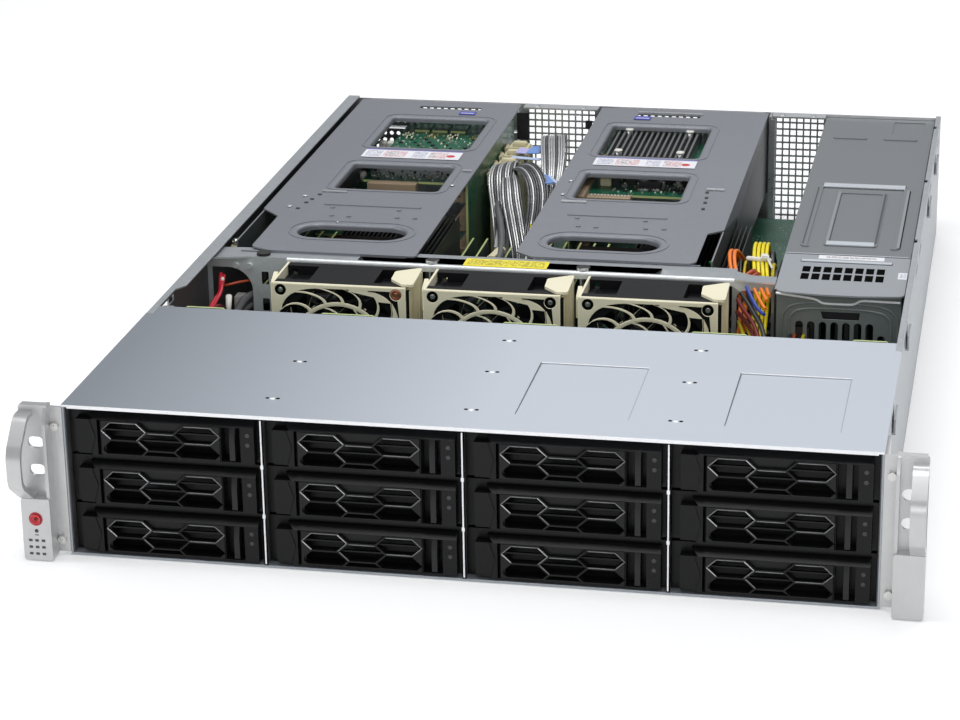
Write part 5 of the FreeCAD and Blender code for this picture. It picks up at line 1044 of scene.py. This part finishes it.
# painted highlights: bright bars on the folds of the lid
right_riser.box((-17.0, 406.8, LID - 0.2), (0.0, 410.0, LID + 0.7), STEEL["bright"], 0.3)
right_riser.box((2.0, 633.6, LID - 0.2), (49.0, 636.0, LID + 0.6), STEEL["bright"], 0.3)
for x, y in ((-18.0, 454.5), (-18.3, 423.2)):
    right_riser.rod((x, y, LID), (x, y, LID + 0.7), 1.5, STEEL["bright"], 0.3)
for spot_x, spot_y in ((74.0, 440.0), (75.0, 428.0), (75.4, 417.0), (75.8, 403.0)):
    right_riser.box((spot_x, spot_y, LID), (spot_x + 2.2, spot_y + 3.4, LID + 0.12), PLASTIC["socket"], 0.1)
right_riser.box((74.0, 446.5, LID - 0.1), (86.0, 449.5, LID + 0.7), STEEL["bright"], 0.3)
right_riser.finish("riser_right_parts", "riser_right")

# %% [markdown]
# ## Labels
# Generic labels: a pale field, a coloured edge and grey bars where a real one has small print. A shader
# breaks each bar up into words of different length.

# %%
def printed(name, paper, ink, pitch=0.0012):
    """Paper with rows of ink that are broken up into words."""
    paint = Paint(name, roughness=0.45, coat_weight=0.1)
    row = paint.stripes(paint.axis("Y") + paint.axis("Z"), pitch) < 0.55
    words = paint.noise(1.0, 1.0, paint.stretched(900.0, 500.0, 500.0)) > 0.46
    grain = paint.noise(700.0, 2.0)
    paint.feed(base_color=paint.tint(row * words * (0.7 + grain * 0.5), paper, ink))
    paint.bump(grain, 0.03)
    return paint.material


PRINT = {
    "grey": printed("print_grey", (0.78, 0.78, 0.86), (0.30, 0.31, 0.38)),
    "dark": printed("print_dark", (0.80, 0.78, 0.80), (0.16, 0.13, 0.13)),
    "rosy": printed("print_rosy", (0.80, 0.72, 0.74), (0.58, 0.26, 0.28), 0.0021),
    "yellow": printed("print_yellow", (0.86, 0.74, 0.02), (0.20, 0.16, 0.02), 0.0016),
}


def riser_label(body, left, right, front, rear):
    """Label across a riser lid: coloured rear edge, two blocks of print and a red mark."""
    kit = Kit()
    wide = right - left
    kit.box((left, front, LID), (right, rear, LID + 0.16), PLASTIC["paper"], 0.05)
    kit.box((left, rear - 2.8, LID + 0.1), (right, rear, LID + 0.22), PLASTIC["violet"], 0.04)
    for start, end, material in ((0.03, 0.19, "grey"), (0.21, 0.44, "rosy"), (0.24, 0.36, "dark"),
                                 (0.51, 0.65, "grey"), (0.68, 0.86, "rosy"), (0.68, 0.74, "dark")):
        inset = 3.0 if material == "dark" else 0.0
        kit.box((left + wide * start, front + 2.0 + inset, LID + 0.1),
                (left + wide * end, rear - 4.5 - inset, LID + 0.2 + inset * 0.01), PRINT[material], 0.03)
    x, y = left + wide * 0.90, (front + rear) / 2 - 2.5
    kit.rod((x, y, LID), (x, y, LID + 0.3), 3.0, PLASTIC["red"], 0.1, 24)
    kit.finish("label_" + body, body)


def tag(kit, left, right, front, rear, top, material):
    """A small label with a lighter line of print across it."""
    kit.box((left, front, top), (right, rear, top + 0.18), material, 0.06)
    line = front + 3.0
    kit.box((left + 1.2, line, top + 0.1), (right - 1.2, line + 1.2, top + 0.24), PLASTIC["paper"], 0.04)


riser_label("riser_left", -172.0, -103.0, 493.0, 514.0)
riser_label("riser_right", -10.0, 60.0, 495.5, 515.4)
for body, left, right, front, rear in (("riser_left", -127.0, -115.0, 611.0, 619.0),
                                       ("riser_right", 1.0, 13.0, 615.0, 624.0)):
    blue = Kit()
    tag(blue, left, right, front, rear, LID, PLASTIC["tag_blue"])
    blue.finish("tag_" + body, body)

# %% [markdown]
# Labels on the body: a yellow one on the crossbar, a strip and a small one on the supply cage. A cream
# post with a steel tip stands behind the left end plate. `LIDS` is the upper face of the supply cage.

# %%
BAR_TOP = 84.5
LIDS = 84.2
signs = Kit()
signs.box((-55, 272.5, BAR_TOP), (-3, 286.5, BAR_TOP + 0.35), PLASTIC["yellow"], 0.06)
signs.box((-53, 274.5, BAR_TOP + 0.2), (-5, 284.5, BAR_TOP + 0.42), PRINT["yellow"], 0.03)
signs.box((158.5, 319, LIDS - 0.1), (198.5, 326, LIDS + 0.2), PLASTIC["paper"], 0.06)
signs.box((163, 321, LIDS + 0.1), (194, 324, LIDS + 0.28), PRINT["dark"], 0.04)
signs.box((208.5, 286, LIDS - 0.1), (213.8, 298, LIDS + 0.15), PLASTIC["paper"], 0.05)
signs.box((209.3, 288, LIDS + 0.1), (213, 296, LIDS + 0.22), PRINT["grey"], 0.03)
signs.rod((-210, 310, 66), (-210, 310, 79), 3.2, PLASTIC["cream"], 0.6)
signs.rod((-210, 310, 79), (-210, 310, 83), 2.0, STEEL["screw"], 0.5)
signs.finish("body_labels", "chassis")

# %% [markdown]
# ## Cut sheets
# A flat sheet with many openings is a filled 2D curve with rounded edges. It is drawn in its own plane
# and set upright, facing the front.

# %%
def cut_sheet(name, body, outline, holes, thickness, foot, material, edge=0.2):
    """An upright sheet: its outline and holes are lists of places across and up from its foot."""
    curve = bpy.data.curves.new(name, "CURVE")
    curve.dimensions = "2D"
    curve.fill_mode = "BOTH"
    curve.extrude = (thickness / 2 - edge) * MM
    curve.bevel_depth = edge * MM
    curve.bevel_resolution = 1
    curve.offset = -edge * MM
    for corners in (outline, *holes):
        line = curve.splines.new("POLY")
        line.points.add(len(corners) - 1)
        for point, (across, up) in zip(line.points, corners):
            point.co = (across * MM, up * MM, 0.0, 1.0)
        line.use_cyclic_u = True
    curve.materials.append(material)
    made = bpy.data.objects.new(name, curve)
    made.matrix_world = Matrix.Translation(place(*foot)) @ UPRIGHT
    bpy.context.scene.collection.objects.link(made)
    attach(made, body)
    print(name, "has", len(holes), "openings")


def between(first, last, count):
    """Evenly spaced values from the first to the last."""
    return [first + (last - first) * index / (count - 1) for index in range(count)]


def circle(across, up, radius, count=24):
    return [(across + radius * math.cos(2 * math.pi * step / count),
             up + radius * math.sin(2 * math.pi * step / count)) for step in range(count)]


def capsule(across, low, high, wide):
    """An upright slot with round ends."""
    radius = wide / 2
    arc = [(across + radius * math.cos(angle), high - radius + radius * math.sin(angle))
           for angle in between(0.0, math.pi, 9)]
    return [*arc, *[(2 * across - u, low + high - v) for u, v in arc]]


print("a slot has", len(capsule(0, 0, 10, 4)), "corners")

# %% [markdown]
# ## Fan grilles
# Curved ribs run from a ring out to a square with large round corners, and from the hub out to the ring.
# Each opening between two ribs is a closed line: both its sides bend the same way as they go outward, and
# `sweep` is the angle they gain on the way.

# %%
RIB = 1.9
RING = 28.4
HUB = 12.5
OUTER_RIBS = 17
INNER_RIBS = 9
OUTER_SWEEP = 0.36
INNER_SWEEP = 0.5
SQUARE = 37.6
ROUNDNESS = 3.8


def rounded_square(angle):
    """Distance from the middle to the edge of a square with large round corners."""
    bulge = abs(math.cos(angle)) ** ROUNDNESS + abs(math.sin(angle)) ** ROUNDNESS
    return SQUARE / bulge ** (1 / ROUNDNESS)


def spiral_side(start, inner, reach, sweep, shift):
    """One side of an opening, from the inside outward: places as a radius and an angle."""
    side = []
    for share in between(0.0, 1.0, 8):
        angle = start + sweep * share * share
        radius = inner + (reach(angle) - inner) * share
        side.append((radius, angle + shift / radius))
    return side


def spiral_opening(base, after, inner, reach, sweep):
    """The opening between two curved ribs that start at the angles base and after."""
    first = spiral_side(base, inner, reach, sweep, RIB / 2)
    second = spiral_side(after, inner, reach, sweep, -RIB / 2)
    outer = [(reach(angle), angle) for angle in between(first[-1][1], second[-1][1], 6)[1:-1]]
    inside = [(inner, angle) for angle in between(second[0][1], first[0][1], 5)[1:-1]]
    return [(r * math.cos(a), r * math.sin(a)) for r, a in (*first, *outer, *reversed(second), *inside)]


def openings_round(count, inner, reach, sweep):
    """The whole round of openings between curved ribs."""
    step = 2 * math.pi / count
    return [spiral_opening(step * k, step * (k + 1), inner, reach, sweep) for k in range(count)]


print("corner of the grille at", round(rounded_square(math.pi / 4), 1))

# %% [markdown]
# Each fan has a front sheet with the outer openings and the screw holes, a round sheet with the inner
# openings, and rings with a pale middle round the screws. The upper right one of the left fan is copper
# coloured.

# %%
PLATE_HALF = 41.6
PLATE_FOOT = 3.8
PLATE_HEAD = 84.2
PLATE_FACE = 224.5
SCREW_HALF = 35.75
SCREW_PLACES = [(u, v) for u in (-SCREW_HALF, SCREW_HALF) for v in (-SCREW_HALF, SCREW_HALF)]
OUTER_OPENINGS = [*openings_round(OUTER_RIBS, RING + RIB / 2, rounded_square, OUTER_SWEEP),
                  circle(0, 0, RING - RIB / 2, 48), *[circle(u, v, 3.5) for u, v in SCREW_PLACES]]
INNER_OPENINGS = openings_round(INNER_RIBS, HUB, lambda angle: RING - 1.6, INNER_SWEEP)
for index in (1, 2, 3):
    module = "fan_module_%d" % index
    low, high = drawn_box("fan_rotor_%d" % index)
    middle, level = (low.x + high.x) / 2, (low.z + high.z) / 2
    foot, head = PLATE_FOOT - level, PLATE_HEAD - level
    cut_sheet("fan_grille_%d" % index, module,
              [(-PLATE_HALF, foot), (PLATE_HALF, foot), (PLATE_HALF, head), (-PLATE_HALF, head)],
              OUTER_OPENINGS, 0.9, (middle, PLATE_FACE, level), PLASTIC["beige"], 0.3)
    cut_sheet("fan_spider_%d" % index, module, circle(0, 0, RING, 48), INNER_OPENINGS,
              0.8, (middle, PLATE_FACE + 0.1, level), PLASTIC["beige"], 0.25)
    trim = Kit()
    for u, v in SCREW_PLACES:
        copper = index == 1 and u > 0 and v > 0
        x, z = middle + u, level + v
        trim.turned((x, PLATE_FACE, z), (0, -1, 0), [(1.7, 0), (3.3, 0), (3.3, 0.3), (1.9, 0.5)],
                    STEEL["copper_screw"] if copper else PLASTIC["void"])
        trim.rod((x, PLATE_FACE + 0.1, z), (x, PLATE_FACE - 0.6, z), 1.6,
                 STEEL["copper"] if copper else STEEL["screw"], 0.3, 16)
    trim.finish("fan_trim_%d" % index, module)

# %% [markdown]
# ## Left ear
# Rings on and round the red button, and dark generic marks in the small windows under it.

# %%
button_low, button_high = drawn_box("power_button")
knob = (button_low + button_high) / 2
KNOB_FACE = button_low.y
EAR_FACE = KNOB_FACE + 0.5
FORWARD = (0, -1, 0)
rings = Kit()
rings.turned((knob.x, KNOB_FACE, knob.z), FORWARD, [(2.0, 0), (2.9, 0), (2.8, 0.35), (2.1, 0.35)],
             PLASTIC["red"])
rings.turned((knob.x, EAR_FACE, knob.z), FORWARD, [(0.4, 0), (1.0, 0), (0.9, 0.4), (0.5, 0.4)],
             WIRE["dark_red"])
rings.finish("button_rings", "power_button")
marks = Kit()
marks.turned((knob.x, EAR_FACE, knob.z), FORWARD, [(3.1, 0), (3.9, 0), (3.8, 0.25), (3.2, 0.25)],
             WIRE["red"])
for row in range(3):
    level = knob.z - 12.6 - row * 3.9
    for u in (-4.6, -1.0, 2.6):
        marks.box((knob.x + u - 0.2, EAR_FACE - 0.08, level - 0.75),
                  (knob.x + u + 1.9, EAR_FACE + 0.4, level + 0.75), PLASTIC["mark"], 0.15)
marks.box((knob.x - 1.2, EAR_FACE - 0.08, knob.z - 9.6), (knob.x + 1.2, EAR_FACE + 0.3, knob.z - 9.1),
          PLASTIC["mark"], 0.1)
marks.finish("ear_marks", "chassis")

# %% [markdown]
# ## Supply cage
# The front sheet has slots with round ends, a window above them and two raised lines round them. The last
# slot on the right is shorter.

# %%
SHEET_FACE = 256.4
LINE_FACE = 255.9
SLOT_LEFT = 152.7
SLOT_PITCH = 6.95
SLOT_FOOT = 26.0
SLOT_WIDE = 4.4
SLOT_HEADS = [65.3] * 7 + [58.1]
slots = [capsule(SLOT_LEFT + SLOT_PITCH * k, SLOT_FOOT, head, SLOT_WIDE)
         for k, head in enumerate(SLOT_HEADS)]
window = [(166.6, 67.2), (188.0, 67.2), (188.4, 71.8), (165.4, 71.8)]
cut_sheet("supply_front", "chassis", [(139.0, 3.0), (212.6, 3.0), (212.6, 82.8), (139.0, 82.8)],
          [*slots, window], 0.8, (0.0, SHEET_FACE, 0.0), STEEL["supply_front"], 0.25)


def upright_line(*spots):
    """A route in the plane of the raised lines."""
    return [(x, LINE_FACE, z) for x, z in spots]


wires("supply_front_frame", "chassis", [
    (upright_line((146.6, 6), (146.6, 60), (147, 69), (153, 73.6), (176, 74.2), (200, 73.6), (206.5, 69),
                  (207.4, 60), (207.4, 6)), 1.5, STEEL["supply_front"]),
    (upright_line((142.4, 6), (142.4, 62), (143, 71), (150, 77), (176, 77.6), (203, 77), (211, 70),
                  (211.4, 60), (211.4, 6)), 1.2, STEEL["supply_front"])])

# %% [markdown]
# The louvres of the nose are flat black patches, painted shade for their dark openings. The pressed ridges
# of the lid carry painted highlights across their front and rear ends, and of their long sides one has a
# painted highlight and the other painted shade.

# %%
LOUVRE_LEFT = 150.6
LOUVRE_PITCH = 6.4
press = Kit()
# painted shade: black patches for the louvre openings
for k in range(8):
    x = LOUVRE_LEFT + LOUVRE_PITCH * k
    press.box((x, 292.8, LIDS), (x + 4.8, 303.2, LIDS + 0.14), PLASTIC["void"], 0.06)
    press.box((x + 0.1, 278.6, LIDS), (x + 4.9, 289.8, LIDS + 0.14), PLASTIC["void"], 0.06)
# painted light on the ridges: gleam and ridge are painted highlights, shade is painted shade
RIDGES = (
    ((148.2, 311.6), (204.0, 316.2), 0.6, "gleam", 0.8),
    ((137.6, 326.8), (213.8, 328.4), 0.55, "gleam", 0.5),
    ((148.5, 470.5), (203.5, 480.0), 1.1, "gleam", 1.1),
    ((160.0, 345.0), (191.0, 353.5), 1.1, "gleam", 1.1),
    ((145.4, 346.0), (147.4, 470.0), 0.9, "shade", 0.7),
    ((189.8, 352.0), (192.2, 460.0), 0.9, "shade", 0.7),
    ((159.4, 352.0), (162.4, 462.0), 0.9, "ridge", 0.8),
    ((203.8, 344.0), (206.8, 470.0), 0.9, "ridge", 0.8))
for front, rear, rise, finish, edge in RIDGES:
    press.box((*front, LIDS - 0.3), (*rear, LIDS + rise), STEEL[finish], edge)
press.finish("supply_ridges", "chassis")

# %% [markdown]
# Wires and a white plug in the opening of the left end plate, and the bright lug beside the backplane.

# %%
wires("left_wires", "chassis", [
    ([(-208, 268, 73), (-205.5, 258, 70), (-203.4, 250, 67), (-204.6, 240, 65.5), (-206, 226, 60),
      (-207, 205, 50)], 2.6, WIRE["red"]),
    ([(-206, 268, 72), (-204, 256, 70), (-202.6, 248, 67.5), (-203.4, 238, 65), (-205, 224, 58)],
     2.4, WIRE["red"]),
    ([(-207.5, 266, 66), (-202.5, 264, 67.4), (-197, 268, 68.4), (-190, 274, 68)], 1.6, WIRE["red_brown"])])
plug = Kit()
plug.rod((-195.6, 242, 69.0), (-194.8, 236, 55.0), 2.0, PLASTIC["white"], 0.6, 14, 1.3)
plug.rod((-204.9, 261, 73.4), (-204.9, 261, 69.4), 1.1, PLASTIC["white"], 0.3, 12)
plug.box((-213.0, 165.4, 78.0), (-206.2, 166.4, 87.0), STEEL["bright"], 0.3)
plug.finish("left_plug", "chassis")

# %% [markdown]
# The bent hem below the nose of the supply cage drops in the middle, and a near-white line along it is a
# painted highlight of its bent edge.

# %%
wires("supply_hem", "chassis", [
    ([(138.6, 255.6, 82.4), (150, 255.4, 81.2), (161, 255.3, 80.0), (164, 255.3, 78.8), (166, 255.3, 77.4),
      (169, 255.3, 77.2), (176, 255.3, 77.2), (184, 255.3, 77.2), (186.5, 255.3, 78.4), (189, 255.3, 80.2),
      (197, 255.3, 80.0), (212, 255.3, 79.8)], 1.6, STEEL["edge"])])

# %% [markdown]
# ## Trim of the cover and the bays
# A thin plate in cover paint lies over the step behind the cover. On the cover the edges of the two shallow
# pads are drawn as lines of painted highlight and painted shade, and each rivet has a painted highlight on
# its dome and a small hole at either side, dark with painted shade. The uprights between the bays have
# painted highlights along their front edges, with a wider stretch at each shelf.

# %%
BAY_PITCH = 108.6
SHELF_PITCH = 28.37
FIRST_DIVIDER = -108.6
PADS = (24.0, 134.5)
PAD_WIDE = 60.0
PAD_FRONT = 23.0
RIVET_ROWS = (26.0, 84.0, 135.0)
LINE_FOOT = COVER_TOP - 0.2
cover = Kit()
cover.box((-217.2, COVER_REAR - 1.0, 86.5), (217.2, 163.6, 87.42), PAINTS["cover"], 0.3)
for x in PADS:
    # painted highlight and painted shade lines along the edges of the pads
    right = x + PAD_WIDE
    cover.box((x, 102.2, LINE_FOOT), (right, 103.2, COVER_TOP + 0.12), STEEL["edge"], 0.1)
    cover.box((x - 0.3, PAD_FRONT, LINE_FOOT), (x + 0.3, 102.8, COVER_TOP + 0.06), STEEL["shade"], 0.08)
    cover.box((right - 0.2, PAD_FRONT, LINE_FOOT), (right + 0.2, 102.0, COVER_TOP + 0.04), STEEL["ridge"],
              0.06)
for column in range(3):
    x = FIRST_DIVIDER + column * BAY_PITCH
    for y in RIVET_ROWS if column else RIVET_ROWS[:2]:
        # painted shade in the rivet holes and a painted highlight on the rivet dome
        for side in (-2.9, 2.9):
            cover.turned((x + side, y, COVER_TOP), (0, 0, 1), [(0.0, 0.14), (0.9, 0.12), (1.15, 0.0)],
                         PLASTIC["void"])
        cover.turned((x, y, COVER_TOP), (0, 0, 1), [(0.0, 0.6), (1.1, 0.5), (1.7, 0.0)], STEEL["edge"])
    # painted highlight lines on the front edges of the uprights
    cover.box((x - 0.45, -0.35, 2.0), (x + 0.35, 0.1, 84.6), STEEL["edge"], 0.1)
    for shelf in (1, 2):
        level = 1.3 + shelf * SHELF_PITCH
        cover.box((x - 0.9, -0.3, level - 1.1), (x + 0.7, 0.1, level + 1.1), STEEL["edge"], 0.1)
cover.finish("cover_trim", "chassis")

# %% [markdown]
# Dark memory modules in their sockets stand at the right end of the board.

# %%
memory = Kit()
for k in range(8):
    x = 103.5 + 4.1 * k
    memory.box((x, 325.0, 6.0), (x + 1.3, 452.0, 39.0), PLASTIC["rubber"], 0.15)
    memory.box((x - 1.2, 318.0, 4.0), (x + 2.4, 325.5, 34.0), PLASTIC["socket"], 0.3)
memory.finish("memory_right", "chassis")

# %% [markdown]
# Painted highlights on the levers: thin light lines along some sides of the honeycomb cells, a few of them
# brighter. Sides are numbered from the left point upward and round.

# %%
CELL_TIP = 12.4
CELL_FLAT = 7.2
CELL_HALF = 4.75
CELL_MIDDLE = 34.6
CELL_DROP = 5.75
LEVER_GLINTS = ((-20.5, 0.0, (0, 1, 2, 3, 5), (2, 5)), (20.5, 0.0, (1, 2, 3, 4), ()), (0.0, -5.2, (1, 5), ()))
for bay in BAYS:
    low, high = drawn_box("carrier_lever_" + bay)
    glints = Kit()
    for u, v, sides, bright in LEVER_GLINTS:
        x, z = low.x + CELL_MIDDLE + u, high.z - CELL_DROP + v
        ring = [(x - CELL_TIP, z), (x - CELL_FLAT, z + CELL_HALF), (x + CELL_FLAT, z + CELL_HALF),
                (x + CELL_TIP, z), (x + CELL_FLAT, z - CELL_HALF), (x - CELL_FLAT, z - CELL_HALF)]
        for side in sides:
            (x0, z0), (x1, z1) = ring[side], ring[(side + 1) % 6]
            glints.rod((x0, 0.3, z0), (x1, 0.3, z1), 0.32, PLASTIC["crest" if side in bright else "glint"],
                       0.0, 6)
    glints.finish("lever_glints_" + bay, "carrier_lever_" + bay)

# %% [markdown]
# ## Stage
# A pale floor under the server with a faint glow of its own, so that it is as white as the world behind
# it and its edge does not show. The shadow of the server stays on it.

# %%
FLOOR_REACH = 6.0
corners = [(-FLOOR_REACH, -FLOOR_REACH, 0), (FLOOR_REACH, -FLOOR_REACH, 0), (FLOOR_REACH, FLOOR_REACH, 0),
           (-FLOOR_REACH, FLOOR_REACH, 0)]
floor_mesh = bpy.data.meshes.new("floor")
floor_mesh.from_pydata(corners, [], [(0, 1, 2, 3)])
floor = bpy.data.objects.new("floor", floor_mesh)
bpy.context.scene.collection.objects.link(floor)
floor.location.z = cad_low.z - 0.0005
floor_paint = Paint("floor_paint", roughness=0.9)
floor_paint.feed(base_color=(0.93, 0.93, 0.93), emission_color=(1.0, 1.0, 1.0), emission_strength=0.16)
floor_mesh.materials.append(floor_paint.material)
print("floor at", round(floor.location.z, 4))
